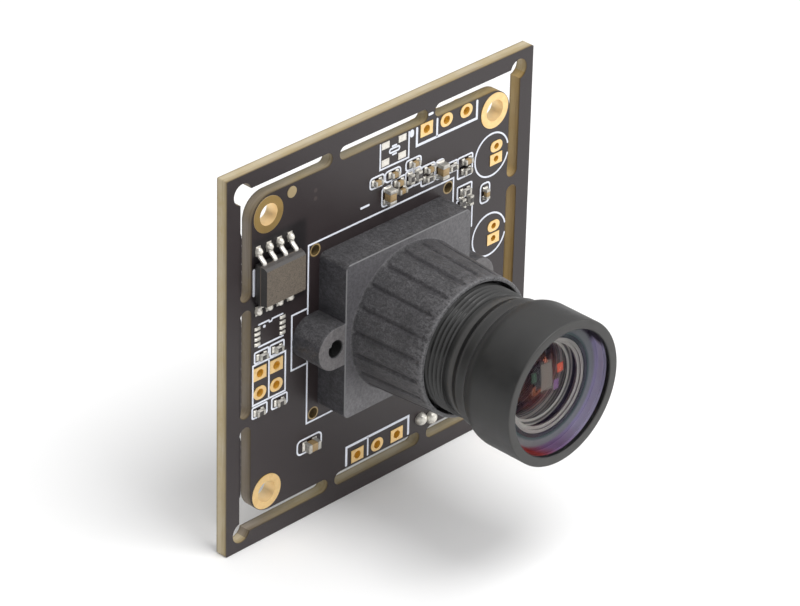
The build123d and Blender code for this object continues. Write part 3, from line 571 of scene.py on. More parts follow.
def addPaintedReflections(finish, paintedReflections):
    # painted reflections and shade: soft patches of colour that glow faintly, standing in for lamps seen
    # again and again in the coatings; the share of each falls to nothing over the outer quarter of its half
    # width or height
    tree = finish.node_tree
    surface = tree.nodes["Material Output"].inputs["Surface"]
    x, y, z = axes(space(tree))
    for middle, half, colour, most in paintedReflections:
        far = larger(maths("DIVIDE", away(x, middle[0]), half[0]),
                     maths("DIVIDE", away(z, middle[1]), half[1]))
        patch = tree.nodes.new("ShaderNodeBsdfPrincipled")
        patch.inputs["Base Color"].default_value = (*(min(1.6 * part, 0.9) for part in colour), 1)
        patch.inputs["Roughness"].default_value = 0.6
        # painted glow: each patch gives off a little light
        patch.inputs["Emission Color"].default_value = (*colour, 1)
        patch.inputs["Emission Strength"].default_value = 0.2
        mixed = tree.nodes.new("ShaderNodeMixShader")
        feed(mixed.inputs[0], spread(far, 0.75, 1.0, most, 0))
        feed(mixed.inputs[1], surface.links[0].from_socket)
        feed(mixed.inputs[2], patch.outputs[0])
        feed(surface, mixed.outputs[0])


def bentGlass(name, tint, clear, ior, strength):
    # solid glass that bends what is behind it; strength weakens the tinted mirror image in its coated face
    finish = coatedGlass(name, tint, ior=ior, strength=strength)
    tree = finish.node_tree
    bent = tree.nodes.new("ShaderNodeBsdfRefraction")
    bent.inputs["IOR"].default_value = ior
    bent.inputs["Roughness"].default_value = 0.0
    smear = noise(space(tree), 0.6, 3)
    feed(bent.inputs["Color"], blend(smear, clear, tuple(0.98 * part for part in clear)))
    mixed = next(node for node in tree.nodes if node.type == "MIX_SHADER")
    feed(mixed.inputs[1], bent.outputs[0])
    return finish


def inkedEdge():
    # the ground edge of the front glass seen through it, with a painted glow
    finish, tree = newFinish("inkedGlassEdge", inkLook["ink"], 0.5)
    where = space(tree)
    tone = inkTone(where)
    shader = tree.nodes["Principled BSDF"]
    feed(shader.inputs["Emission Color"], tone)
    shader.inputs["Emission Strength"].default_value = 0.11  # painted glow: the inked edge gives off light of its own
    return coat(finish, tone, spread(noise(where, 6, 3, 0.6), 0.3, 0.7, 0.45, 0.6))


def rimFinish():
    # ground rear rim of the front glass: grey green with painted shade in dark teal inside, and the ink run
    # over its outer part, darkened by painted shade
    look = {"rim": (0.36, 0.38, 0.385), "dull": (0.25, 0.275, 0.28), "paintedTealShade": (0.07, 0.12, 0.12),
            "paintedInkShade": (0.62, 0.62, 0.66)}
    finish, tree = newFinish("groundRim", look["rim"], 0.5)
    where = space(tree)
    fromAxis = distanceTo(space(tree, (1, 0, 1)), (0, 0, 0))
    tone = blend(noise(where, 3, 3, 0.6), look["rim"], look["dull"])
    # painted shade: dark teal on the inner part of the rim
    tone = blend(spread(fromAxis, 4.7, 4.95, 1, 0), tone, look["paintedTealShade"])
    # painted shade on the ink over the rim's outer part
    inked = blend(1.0, inkTone(where), look["paintedInkShade"], "MULTIPLY")
    return coat(finish, blend(spread(fromAxis, 5.35, 5.65), tone, inked))


def ringFinish():
    # dark wall at the mouth, tinted teal as painted shade; the steps below it are bare and pale, with a
    # painted highlight along each edge
    look = {"wall": (0.016, 0.028, 0.030), "bare": (0.34, 0.30, 0.28), "line": (0.95, 0.90, 0.84),
            "wallLevel": 18.76, "levels": (18.71, 18.36)}
    finish, tree = newFinish("steppedRing", look["bare"], 0.35)
    where = space(tree)
    level = times(axes(where)[1], -1.0)
    marks = noise(space(tree, (0.05, 14, 0.05)), 1.0, 3, 0.7)
    tone = blend(marks, look["bare"], tuple(0.6 * part for part in look["bare"]))
    # painted highlight along each step edge
    for edgeLevel in look["levels"]:
        near = spread(away(level, edgeLevel), 0.012, 0.026, 1, 0)
        tone = blend(near, tone, look["line"])
    # painted shade: the wall at the mouth is dark teal
    tone = blend(above(level, look["wallLevel"]), tone, look["wall"])
    return coat(finish, tone, spread(marks, 0.3, 0.7, 0.3, 0.42))


secondPaintedReflections = [  # middle and half size across x and z, colour, greatest share
    ((-0.85, 0.9), (0.5, 1.2), (0.012, 0.012, 0.012), 0.8),
    ((0.15, 0.75), (0.72, 1.45), (0.155, 0.135, 0.115), 0.8),
    ((1.7, 0.95), (0.42, 0.46), (0.55, 0.075, 0.03), 0.75),
    ((1.2, -0.4), (0.36, 0.55), (0.22, 0.095, 0.25), 0.5),
    ((-1.25, 1.05), (0.3, 0.5), (0.04, 0.09, 0.05), 0.55),
    ((-1.3, -0.15), (0.24, 0.45), (0.24, 0.075, 0.03), 0.5),
]

finishes = {
    "mask": maskFinish(),
    "gold": goldFinish(),
    "tin": tinFinish("brightTin", (0.80, 0.78, 0.74), 1.0, 0.16, 0.36),
    "leadTin": tinFinish("leadTin", (0.84, 0.81, 0.76), 0.55, 0.3, 0.42),
    "capTin": tinFinish("capTin", (0.56, 0.54, 0.49), 0.7, 0.36, 0.52),
    "pads": padFinish(),
    "solder": tinFinish("softSolder", (0.80, 0.77, 0.70), 0.6, 0.26, 0.4),
    "ink": plainGrain("bluishInk", (0.80, 0.83, 0.91), 0.55, scale=9, depth=0.004, shade=0.86),
    "holder": holderFinish(),
    "barrel": barrelFinish(),
    "ring": ringFinish(),
    "inkedEdge": inkedEdge(),
    "groundRim": rimFinish(),
    "bareRing": turnedFinish("turnedRing", (0.95, 0.88, 0.82), (0.24, 0.22, 0.20)),
    "turnedWall": turnedFinish("turnedWall", (0.85, 0.78, 0.72), (0.20, 0.185, 0.175)),
    "stop": plainGrain("blackStop", (0.004, 0.004, 0.004), 0.6, scale=8, depth=0.004),
    "chip": chipFinish(),
    "capacitor": plainGrain("tanCeramic", (0.38, 0.26, 0.12), 0.42, scale=5, depth=0.008, shade=0.7),
    "resistor": resistorFinish(),
    "steel": plainGrain("zincedSteel", (0.85, 0.85, 0.85), 0.26, 0.8, scale=5, depth=0.01),
    "ceramic": plainGrain("darkCeramic", (0.16, 0.15, 0.17), 0.6, scale=7),
    "silicon": plainGrain("siliconDie", (0.08, 0.06, 0.10), 0.12, 0.6, scale=4, depth=0.002),
    "lid": plainGrain("nickelLid", (0.70, 0.69, 0.66), 0.28, 1.0, scale=5, depth=0.008),
    "ferrite": plainGrain("darkFerrite", (0.075, 0.075, 0.08), 0.55, scale=6, depth=0.02),
    "nylon": plainGrain("ivoryNylon", (0.74, 0.70, 0.58), 0.42, scale=4, depth=0.01, shade=0.88),
    "frontGlass": bentGlass("frontGlassCoated", (0.62, 0.50, 0.85), (0.97, 0.98, 0.97), 1.52, 0.2),
    "rearFace": coatedGlass("frontGlassRear", (0.90, 0.88, 0.80), ior=1.5, strength=0.1),
    "secondGlass": coatedGlass("secondGlassCoated", (0.90, 0.45, 0.75), ior=1.6, strength=0.12),
    "secondRear": coatedGlass("secondGlassRear", (1.0, 0.25, 0.10), ior=1.6, strength=0.3),
    "warmGlass": coatedGlass("innerGlassAmber", (1.0, 0.45, 0.25), ior=1.7, strength=0.3),
    "coolGlass": coatedGlass("innerGlassGreen", (0.25, 0.9, 0.45), ior=1.7, strength=0.5),
    "violetGlass": coatedGlass("innerGlassViolet", (0.75, 0.35, 0.85), ior=1.9, strength=0.25),
    "filter": coatedGlass("cyanFilter", (0.9, 0.35, 0.3), clear=(0.55, 0.85, 0.85), ior=1.6),
    "clear": coatedGlass("coverGlass", (0.9, 0.95, 1.0), ior=1.5),
}
addPaintedReflections(finishes["secondGlass"], secondPaintedReflections)
print("finishes made:", len(finishes))

nodeFinishes = {
    "circuit_board": "mask", "mounting_hole_plating": "gold", "pin_hole_plating": "gold",
    "front_pads": "pads", "rear_pads": "pads", "holder_screws": "steel",
    "sensor_package": "ceramic", "sensor_die": "silicon", "sensor_cover_glass": "clear",
    "infrared_filter": "filter", "rear_lens": "violetGlass", "rear_spacer": "stop",
    "fourth_lens": "coolGlass", "aperture_stop": "stop", "third_lens": "warmGlass",
    "locking_ring": "bareRing", "middle_spacer": "turnedWall", "second_lens": "violetGlass",
    "front_spacer": "ring", "front_lens": "frontGlass", "flash_memory": "chip", "image_processor": "chip",
    "connector_housing": "nylon", "connector_pins": "tin", "connector_tabs": "tin", "solder_blobs": "solder",
}
for nodeName, finishName in nodeFinishes.items():
    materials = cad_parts[nodeName].data.materials
    materials.clear()
    materials.append(finishes[finishName])


# Lens holder


holder = {
    "footHalf": 7.82, "footCorner": 0.6, "footTop": 3.4, "edge": 0.1, "towerBase": 7.15, "towerEnd": 6.68,
    "towerTop": 11.6, "baseFillet": 0.14, "rimRound": 0.14, "mouth": 6.3, "mouthDepth": 1.6, "bore": 6.04,
    "webTop": 3.0, "webRear": 2.0, "windowHalf": 3.2, "pocketHalf": 6.3, "flutes": 20, "fluteDepth": 0.17,
    "fluteHalfWidth": 0.34, "fluteMargin": 0.42, "fluteFade": 0.5, "turns": 720,
    "earX": 9.0, "earRadius": 2.1, "earHole": 0.8,
}


def squareRadius(turn, half, corner):
    # distance from the axis to a square with rounded corners: half / cos(t) along the sides, with t folded to
    # the nearest side, and the far root of the corner circle beyond them
    folded = np.abs((turn + math.pi / 4) % (math.pi / 2) - math.pi / 4)
    toCorner = (half - corner) * math.sqrt(2)
    aside = math.pi / 4 - folded
    arc = toCorner * np.cos(aside) + np.sqrt(np.maximum(corner**2 - (toCorner * np.sin(aside)) ** 2, 0))
    return np.where(half * np.tan(folded) <= half - corner, half / np.cos(folded), arc)


def smoothStep(value):
    value = np.clip(value, 0, 1)
    return value * value * (3 - 2 * value)


def holderTower(s):
    # one closed section carried round the axis; its radius at each turn is that of a rounded square, a circle
    # or the drafted tower less the flutes: depth * cos^2 of the distance from the flute's middle
    turn = np.arange(s["turns"]) / s["turns"] * fullTurn

    def square(half, corner):
        return squareRadius(turn, half, corner)

    def circle(radius):
        return np.full(s["turns"], radius)

    foot = s["footHalf"]
    loops = [(square(foot, s["footCorner"]), 0.0)]
    for angle in np.linspace(0, math.pi / 2, 5):
        inset = s["edge"] * (1 - math.cos(angle))
        level = s["footTop"] - s["edge"] * (1 - math.sin(angle))
        loops.append((square(foot - inset, max(s["footCorner"] - inset, 0.05)), level))
    for angle in np.linspace(0, math.pi / 2, 4):
        flare = s["baseFillet"] * (1 - math.sin(angle))
        level = s["footTop"] + s["baseFillet"] * (1 - math.cos(angle))
        loops.append((circle(s["towerBase"] + flare), level))
    rimStart = s["towerTop"] - s["rimRound"]
    levels = np.linspace(s["footTop"] + s["baseFillet"], rimStart, 40)[1:]
    slope = (s["towerBase"] - s["towerEnd"]) / (s["towerTop"] - s["footTop"])
    fluteEnd = s["towerTop"] - s["fluteMargin"]
    apart = (turn / fullTurn * s["flutes"]) % 1 - 0.5
    for level in levels:
        radius = s["towerBase"] - slope * (level - s["footTop"])
        across = apart / s["flutes"] * fullTurn * radius / s["fluteHalfWidth"]
        shape = np.where(np.abs(across) < 1, np.cos(across * math.pi / 2) ** 2, 0)
        depth = s["fluteDepth"] * shape * smoothStep((fluteEnd - level) / s["fluteFade"])
        loops.append((radius - depth, level))
    for angle in np.linspace(0, math.pi / 2, 5)[1:]:
        inset = s["rimRound"] * (1 - math.cos(angle))
        loops.append((circle(s["towerEnd"] - inset), rimStart + s["rimRound"] * math.sin(angle)))
    shelf = s["towerTop"] - s["mouthDepth"]
    loops += [(circle(s["mouth"] + 0.06), s["towerTop"]), (circle(s["mouth"]), s["towerTop"] - 0.06)]
    loops += [(circle(s["mouth"]), shelf), (circle(s["bore"]), shelf), (circle(s["bore"]), s["webTop"])]
    loops += [(square(s["windowHalf"], 0.1), s["webTop"]), (square(s["windowHalf"], 0.1), s["webRear"])]
    loops += [(square(s["pocketHalf"], 0.1), s["webRear"]), (square(s["pocketHalf"], 0.1), 0.0)]
    radius = np.stack([loop[0] for loop in loops])
    return ringShell(turnedLoops(radius, np.array([loop[1] for loop in loops]), s["turns"]))


def holderEar(s, side):
    # section carried round the screw hole: the outer radius is the ear's round end outside, and runs on into
    # the foot on the inner half as a straight flank
    count = 144
    turn = np.arange(count) / count * fullTurn
    reach = s["earX"] - s["footHalf"] + 0.5
    inwards = -side * np.cos(turn)
    tiny = 1e-6
    flank = s["earRadius"] / np.maximum(np.abs(np.sin(turn)), tiny)
    flank = np.minimum(flank, reach / np.maximum(inwards, tiny))
    outline = np.where(inwards > 0, flank, s["earRadius"])
    top = s["footTop"] - 0.006
    loops = [(outline, 0.0)]
    for angle in np.linspace(0, math.pi / 2, 5):
        loops.append((outline - s["edge"] * (1 - math.cos(angle)), top - s["edge"] * (1 - math.sin(angle))))
    for hole, level in ((s["earHole"] + 0.1, top), (s["earHole"], top - 0.1), (s["earHole"], 0.0)):
        loops.append((np.full(count, hole), level))
    radius = np.stack([loop[0] for loop in loops])
    out = np.array([loop[1] for loop in loops])[:, None]
    return ringShell(place(side * s["earX"] + radius * np.cos(turn), out, radius * np.sin(turn)))


makePiece("holderMoulding", [holderTower(holder), holderEar(holder, -1), holderEar(holder, 1)], "root",
          [finishes["holder"]], ["lens_holder"], sharpAngle=40)
print("lens holder made")


# Lens barrel


barrel = {
    "front": 22.3, "rear": 4.9, "headRadius": 6.92, "headRear": 17.9, "headEdge": 0.14,
    "neckRadius": 6.15, "shoulder": 16.2, "neckRear": 15.2, "waistRadius": 5.85, "waist": 14.05,
    "grooveRadius": 5.7, "groove": 13.4, "threadRadius": 6.0, "threadDepth": 0.29, "threadPitch": 0.5,
    "frontBore": 6.0, "seat": 19.05, "middleBore": 4.65, "middleSeat": 14.6, "rearBore": 4.05,
    "lip": 6.4, "lipRadius": 3.2, "turns": 240,
}


def bend(start, middle, end, steps):
    # a quadratic curve through start and end, drawn towards the middle point
    t = np.linspace(0, 1, steps)[:, None]
    start, middle, end = map(np.asarray, (start, middle, end))
    return (1 - t) ** 2 * start + 2 * t * (1 - t) * middle + t**2 * end


def barrelShell(s):
    # the section (radius, out) carried round the axis; on the thread the radius falls by depth times
    # |2 frac - 1|^1.3, with frac the fraction in out / pitch - turn, so that the ridges climb as a helix
    edge = s["headEdge"]
    threadOut = np.arange(s["rear"] + 0.3, s["groove"] + 0.001, s["threadPitch"] / 8)
    thread = np.stack([np.full(len(threadOut), s["threadRadius"]), threadOut], -1)
    angle = np.linspace(0, math.pi / 2, 6)
    headRadii = s["headRadius"] - edge * (1 - np.cos(angle))
    headLevels = s["front"] - edge * (1 - np.sin(angle))
    waist = (s["waistRadius"] - 0.06, s["waist"])
    neck = (s["neckRadius"], s["neckRear"])
    shoulder = (s["neckRadius"], s["shoulder"])
    head = (s["headRadius"], s["headRear"])
    section = np.concatenate([
        [(s["lipRadius"], s["rear"]), (s["threadRadius"] - 0.3, s["rear"])],
        thread,
        [(s["grooveRadius"], s["groove"] + 0.02), (s["grooveRadius"], s["groove"] + 0.3)],
        bend(waist, (s["waistRadius"], s["waist"] + 0.8), neck, 8),
        [(s["neckRadius"] + 0.005, s["neckRear"] + 0.06), (s["neckRadius"], s["shoulder"] - 0.05)],
        bend(shoulder, (s["headRadius"] - 0.05, s["shoulder"] + 0.75), head, 12),
        [(s["headRadius"], s["headRear"] + 1.4), (s["headRadius"], s["front"] - 1.4)],
        np.stack([headRadii, headLevels], -1),
        [(s["frontBore"] + 0.08, s["front"]), (s["frontBore"], s["front"] - 0.08)],
        [(s["frontBore"], s["seat"]), (s["middleBore"], s["seat"])],
        [(s["middleBore"], s["middleSeat"]), (s["rearBore"], s["middleSeat"])],
        [(s["rearBore"], s["lip"]), (s["lipRadius"], s["lip"])],
    ])
    count = s["turns"]
    turn = np.arange(count) / count
    radius = np.repeat(section[:, :1], count, 1)
    out = section[:, 1:]
    onThread = np.abs(section[:, :1] - s["threadRadius"]) < 1e-6
    onThread &= (out < s["groove"] + 0.001) & (out > s["rear"])
    phase = (out / s["threadPitch"] - turn + 0.35) % 1
    ends = smoothStep((out - s["rear"] - 0.3) / 0.3)
    radius -= np.where(onThread, s["threadDepth"] * np.abs(2 * phase - 1) ** 1.3 * ends, 0)
    return ringShell(turnedLoops(radius, section[:, 1], count))


makePiece("barrelTurned", [barrelShell(barrel)], "lens_barrel", [finishes["barrel"]],
          ["lens_barrel"], sharpAngle=32)
print("lens barrel made")


# Glass and rings


glassTurns, glassSteps = 144, 22


def lensLoops(outer, rear, front, frontClear, frontRise, rearClear, rearRise):
    # pole to pole: the rear face, the flat rims and the front face; each face is the circle arc that rises by
    # its rise over its clear radius, so its height at r is rise - R + sqrt(R^2 - r^2), with R from the two
    def face(clear, rise):
        r = clear * np.linspace(0.02, 1, glassSteps)
        size = (clear**2 + rise**2) / (2 * abs(rise))
        return r, math.copysign(1, rise) * (np.sqrt(size**2 - r**2) - size) + rise

    rearRadius, rearHeight = face(rearClear, rearRise)
    frontRadius, frontHeight = face(frontClear, frontRise)
    radius = np.concatenate([rearRadius, [outer, outer], frontRadius[::-1]])
    out = np.concatenate([rear - rearHeight, [rear, front], front + frontHeight[::-1]])
    return turnedLoops(radius, out, glassTurns)


glass = {  # outer, rear, front, clear radius and rise of the front face, then of the rear face
    "front_lens": (5.97, 19.08, 21.55, 5.85, 0.6, 4.6, -1.7),
    "second_lens": (4.62, 16.63, 17.93, 3.65, 0.4, 3.3, -0.9),
    "third_lens": (4.02, 12.33, 13.83, 3.4, 0.45, 3.4, 0.3),
    "fourth_lens": (4.02, 9.53, 10.73, 3.4, -0.35, 3.4, -0.35),
    "rear_lens": (4.02, 6.43, 8.03, 3.4, 0.6, 3.2, 0.5),
}
glassFinishes = {  # front face, ground rear rim, side, rear face
    "front_lens": ("frontGlass", "groundRim", "inkedEdge", "rearFace"),
    "second_lens": ("secondGlass", "bareRing", "stop", "secondRear"),
    "third_lens": ("coolGlass", "bareRing", "stop", "warmGlass"),
    "fourth_lens": ("coolGlass", "stop", "stop", "coolGlass"),
    "rear_lens": ("violetGlass", "stop", "stop", "warmGlass"),
}
rimStart = (glassSteps - 1) * glassTurns  # the shell's faces run from the rear pole, ring by ring
for nodeName, sizes in glass.items():
    pieceName = nodeName.split("_")[0] + "Glass"
    lens = makePiece(pieceName, [loftShell(lensLoops(*sizes))], "lens_optics",
                     [finishes[part] for part in glassFinishes[nodeName]], [nodeName], sharpAngle=25)
    finishIndex = np.zeros(len(lens.data.polygons), np.int32)
    finishIndex[:rimStart] = 3
    finishIndex[rimStart:rimStart + glassTurns] = 1
    finishIndex[rimStart + glassTurns:rimStart + 2 * glassTurns] = 2
    finishIndex[-2 * glassTurns:-glassTurns] = 3  # the fan at the rear pole
    lens.data.polygons.foreach_set("material_index", finishIndex)

stepRing = np.array([  # radius and out, all round the section
    (4.62, 17.95), (4.62, 19.05), (4.29, 19.05), (4.25, 19.01), (4.25, 18.73), (3.99, 18.73),
    (3.95, 18.69), (3.95, 18.38), (3.69, 18.38), (3.65, 18.34), (3.65, 17.95)])
makePiece("steppedRing", [ringShell(turnedLoops(stepRing[:, 0], stepRing[:, 1], glassTurns))], "lens_optics",
          [finishes["ring"]], ["front_spacer"])
print("glass made")


# Chip parts: each CAD block becomes one with rounded edges


def roundedOutline(low, high, radius, steps=3):
    # four quarter circles about the inset corners, anticlockwise
    angle = np.linspace(0, math.pi / 2, steps)
    quarter = np.arange(4)[:, None] * math.pi / 2
    signs = np.array([(1, 1), (-1, 1), (-1, -1), (1, -1)])
    middle = (low + high) / 2
    half = (high - low) / 2 - radius
    arcs = np.stack([np.cos(angle + quarter), np.sin(angle + quarter)], -1) * radius
    return (middle + signs[:, None, :] * half + arcs).reshape(-1, 2)


def blockShell(low, high, edge, steps=3):
    # the rounded outline carried through the block's depth; near each face it shrinks by edge * (1 - sin a)
    # while the level moves by edge * (1 - cos a)
    angles = np.linspace(0, math.pi / 2, steps)
    shrink = edge * (1 - np.sin(angles))
    lift = edge * (1 - np.cos(angles))
    flat = [0, 2]
    loops = []
    for inset, level in [*zip(shrink, low[1] + lift), *zip(shrink[::-1], high[1] - lift[::-1])]:
        outline = roundedOutline(low[flat] + inset, high[flat] - inset, max(edge - inset, 0.2 * edge), steps)
        loops.append(place(outline[:, 0], level, outline[:, 1]))
    return loftShell(np.stack(loops))


def blocks(node, edge):
    low, high = nodeSolids(node)
    return [blockShell(corner, opposite, edge) for corner, opposite in zip(low, high)]


blockPieces = {  # piece: nodes, rounding of the edges, finish, material slot
    "frontCapacitorBodies": ("front_capacitors", 0.05, "capacitor", "capacitor_ceramic"),
    "frontCapacitorCaps": ("front_capacitor_terminals", 0.06, "capTin", "tinned_copper"),
    "frontResistorBodies": ("front_resistors", 0.03, "resistor", "resistor_ceramic"),
    "frontResistorCaps": ("front_resistor_terminals", 0.05, "capTin", "tinned_copper"),
    "rearCapacitorBodies": ("rear_capacitors", 0.05, "capacitor", "capacitor_ceramic"),
    "rearCapacitorCaps": ("rear_capacitor_terminals", 0.06, "capTin", "tinned_copper"),
    "rearResistorBodies": ("rear_resistors", 0.03, "resistor", "resistor_ceramic"),
    "rearResistorCaps": ("rear_resistor_terminals", 0.05, "capTin", "tinned_copper"),
    "regulatorBodies": ("regulators", 0.09, "chip", "chip_moulding"),
    "regulatorFeet": ("regulator_leads", 0.04, "tin", "tinned_copper"),
    "coilCore": ("power_coil", 0.25, "ferrite", "coil_ferrite"),
    "coilFeet": ("coil_terminals", 0.05, "tin", "tinned_copper"),
    "crystalBase": ("crystal_base", 0.05, "ceramic", "sensor_ceramic"),
    "crystalLid": ("crystal_can", 0.12, "lid", "crystal_lid"),
}
for pieceName, (node, edge, finishName, slotName) in blockPieces.items():
    makePiece(pieceName, blocks(node, edge), "root", [finishes[finishName]], [node])
print("chip parts made")


# Memory chip leads and the solder on the pads


lead = {"width": 0.44, "thickness": 0.3, "exit": 0.82, "foot": 0.24, "reach": 1.0, "steps": 26,
        "jointHalf": (0.35, 0.42), "jointHeight": 0.5}


def leadShell(s, x, edge, side):
    # a rounded strip whose middle line is level, falls as a smooth step and lies on the pad:
    # out = foot + (exit - foot) * (1 - smoothStep)
    along = np.linspace(-0.15, s["reach"], s["steps"])
    out = s["foot"] + (s["exit"] - s["foot"]) * (1 - smoothStep((along - 0.05) / 0.62))
    rise = np.gradient(out, along)
    length = np.sqrt(1 + rise**2)
    tangent = np.stack([1 / length, rise / length], -1)
    angle = np.arange(12) / 12 * fullTurn
    across = np.sign(np.cos(angle)) * np.abs(np.cos(angle)) ** 0.6 * s["width"] / 2
    through = np.sign(np.sin(angle)) * np.abs(np.sin(angle)) ** 0.6 * s["thickness"] / 2
    z = edge + side * (along[:, None] - through * tangent[:, 1:])
    return loftShell(place(x + across + 0 * z, out[:, None] + through * tangent[:, :1], z))


def cushionShell(low, high, height, rows=9):
    # solder mound over a rectangle: height * (1 - u^4)(1 - v^4) above its base, u and v across it
    u = np.linspace(-1, 1, rows)
    uu, vv = np.meshgrid(u, u, indexing="ij")
    middle, half = (low + high) / 2, (high - low) / 2
    x, z = middle[0] + half[0] * uu, middle[2] + half[2] * vv
    side = math.copysign(1, height)
    top = place(x, low[1] + side * 0.01 + height * ((1 - uu**4) * (1 - vv**4)) ** 0.6, z).reshape(-1, 3)
    base = place(x, low[1] - side * 0.02, z).reshape(-1, 3)
    index = np.arange(rows * rows).reshape(rows, rows)
    rim = np.concatenate([index[0, :-1], index[:-1, -1], index[-1, :0:-1], index[:0:-1, 0]])
    after = np.roll(rim, -1)
    skirt = np.stack([rim, after, after + rows * rows, rim + rows * rows], -1)
    faces = gridQuads(rows, rows, False, False)
    quads = np.concatenate([faces[:, ::-1], faces + rows * rows, skirt[:, ::-1]])
    return facingOut(np.concatenate([top, base]), quads, np.empty((0, 3), int))


def moundShell(x, z, half, height, rings=10, count=24):
    # drop of solder over a flat base: radius shares r from 1 to 0 at out = height * (1 - r^2)^0.6
    share = np.sqrt(np.linspace(1, 0.004, rings))[:, None]
    turn = np.arange(count) / count * fullTurn
    out = 0.04 + height * (1 - share**2) ** 0.6
    loops = place(x + half[0] * share * np.cos(turn), out, z + half[1] * share * np.sin(turn))
    base = place(x + half[0] * np.cos(turn), -0.01, z + half[1] * np.sin(turn))
    return loftShell(np.concatenate([base[None], loops]))


leadLow, leadHigh = nodeSolids("flash_memory_leads")
chipMiddle = (nodeBox("flash_memory")[0] + nodeBox("flash_memory")[1]) / 2
leadShells, footShells = [], []
for low, high in zip(leadLow, leadHigh):
    side = 1 if low[2] > chipMiddle[2] else -1
    edge = low[2] if side > 0 else high[2]
    x = (low[0] + high[0]) / 2
    leadShells.append(leadShell(lead, x, edge, side))
    tip = edge + side * lead["reach"]
    footShells.append(moundShell(x, tip + side * 0.04, lead["jointHalf"], lead["jointHeight"]))
makePiece("memoryLeads", leadShells, "root", [finishes["leadTin"]],
          ["flash_memory_leads"], sharpAngle=60)

padTop = 0.05
padLow, padHigh = nodeSolids("front_pads")
capLow, capHigh = (np.concatenate(pair) for pair in zip(nodeSolids("front_capacitor_terminals"),
                                                        nodeSolids("front_resistor_terminals")))
capMiddle = (capLow + capHigh) / 2
for low, high in zip(padLow, padHigh):
    middle = (low + high) / 2
    corner, opposite = np.array([low[0], padTop, low[2]]), np.array([high[0], padTop, high[2]])
    if -16 < middle[0] < -11.8 and 1.4 < middle[2] < 3.7:  # levelled solder on the empty eight-pad footprint
        footShells.append(cushionShell(corner, opposite, 0.13))
    near = np.abs(capMiddle - middle)[:, [0, 2]].max(1)
    if near.min() < 0.25:  # a chip part's end cap stands on this pad
        tall = capHigh[near.argmin(), 1]
        footShells.append(cushionShell(corner, opposite, min(0.25 * tall + 0.04, 0.2)))
makePiece("padSolder", footShells, "root", [finishes["solder"]], sharpAngle=60)


# Frayed glass fibre on the outer walls of the routed slots at the left


fringe = {"wall": -17.4, "half": 0.16, "wave": 0.02, "thickness": 1.25, "rows": 160,
          "spans": ((-13.4, -7.1), (-5.1, 5.1), (7.1, 13.4))}


def fringeShell(s, start, end):
    # a strip along the wall that stands out by half * (1 - |t|^16), t from -1 to 1, plus a few sine waves
    t = np.linspace(-1, 1, s["rows"])
    z = start + (end - start) * (t + 1) / 2
    waves = np.sin(z * 7.1) + np.sin(z * 17.3 + 1) + np.sin(z * 31.7 + 2)
    stand = (s["half"] + s["wave"] * waves / 2) * (1 - np.abs(t) ** 16)
    inner = np.full(len(t), s["wall"] - 0.04)
    outer = s["wall"] + stand
    corners = [(inner, 0.0), (outer, 0.0), (outer - 0.02, -s["thickness"]), (inner, -s["thickness"])]
    return loftShell(np.stack([place(x, out, z) for x, out in corners], 1))


makePiece("slotFringe", [fringeShell(fringe, *span) for span in fringe["spans"]], "root",
          [finishes["mask"]], sharpAngle=40)
print("slot fringe made")


# Ink on the board


ink = {"width": 0.165, "bold": 0.25, "low": -0.01, "high": 0.03}


def strokeShell(path, width):
    # a flat strip along the path; the offset at each point is the mitre of its two segments, and the half
    # width closes as a half circle at both ends
    path = np.asarray(path, float)
    closed = np.allclose(path[0], path[-1])
    half = width / 2
    if closed:
        path = path[:-1]
        before, after = np.roll(path, 1, 0), np.roll(path, -1, 0)
    else:
        ends = np.array([0.04, 0.15, 0.4, 0.7, 0.98]) * half
        first = (path[1] - path[0]) / np.linalg.norm(path[1] - path[0])
        last = (path[-1] - path[-2]) / np.linalg.norm(path[-1] - path[-2])
        startPoints, endPoints = path[0] + ends[:, None] * first, path[-1] - ends[::-1, None] * last
        path = np.concatenate([startPoints, path[1:-1], endPoints])
        before = np.concatenate([path[:1] - first, path[:-1]])
        after = np.concatenate([path[1:], path[-1:] + last])
    back = path - before
    forth = after - path
    back = back / np.linalg.norm(back, axis=1)[:, None]
    forth = forth / np.linalg.norm(forth, axis=1)[:, None]
    middle = back + forth
    middle /= np.linalg.norm(middle, axis=1)[:, None]
    mitre = np.minimum(1 / np.maximum((middle * forth).sum(1), 0.3), 2)
    halves = np.full(len(path), half)
    if not closed:
        taper = np.sqrt(half**2 - (half - ends) ** 2)
        halves[:5], halves[-5:] = taper, taper[::-1]
    offset = np.stack([-middle[:, 1], middle[:, 0]], -1) * (halves * mitre)[:, None]
    left, right = path + offset, path - offset
    corners = [(left, ink["low"]), (left, ink["high"]), (right, ink["high"]), (right, ink["low"])]
    loops = np.stack([place(side[:, 0], level, side[:, 1]) for side, level in corners], 1)
    return ringShell(loops) if closed else loftShell(loops)


def boxPath(x0, z0, x1, z1, radius=0.0):
    # closed rectangle, with rounded corners where a radius is given
    if radius:
        outline = roundedOutline(np.array([x0, z0]), np.array([x1, z1]), radius, 5)
    else:
        outline = np.array([(x0, z0), (x1, z0), (x1, z1), (x0, z1)])
    return np.concatenate([outline, outline[:1]])


def arcPath(x, z, radius, start, end, steps=40):
    turn = np.radians(np.linspace(start, end, steps))
    return np.stack([x + radius * np.cos(turn), z + radius * np.sin(turn)], -1)


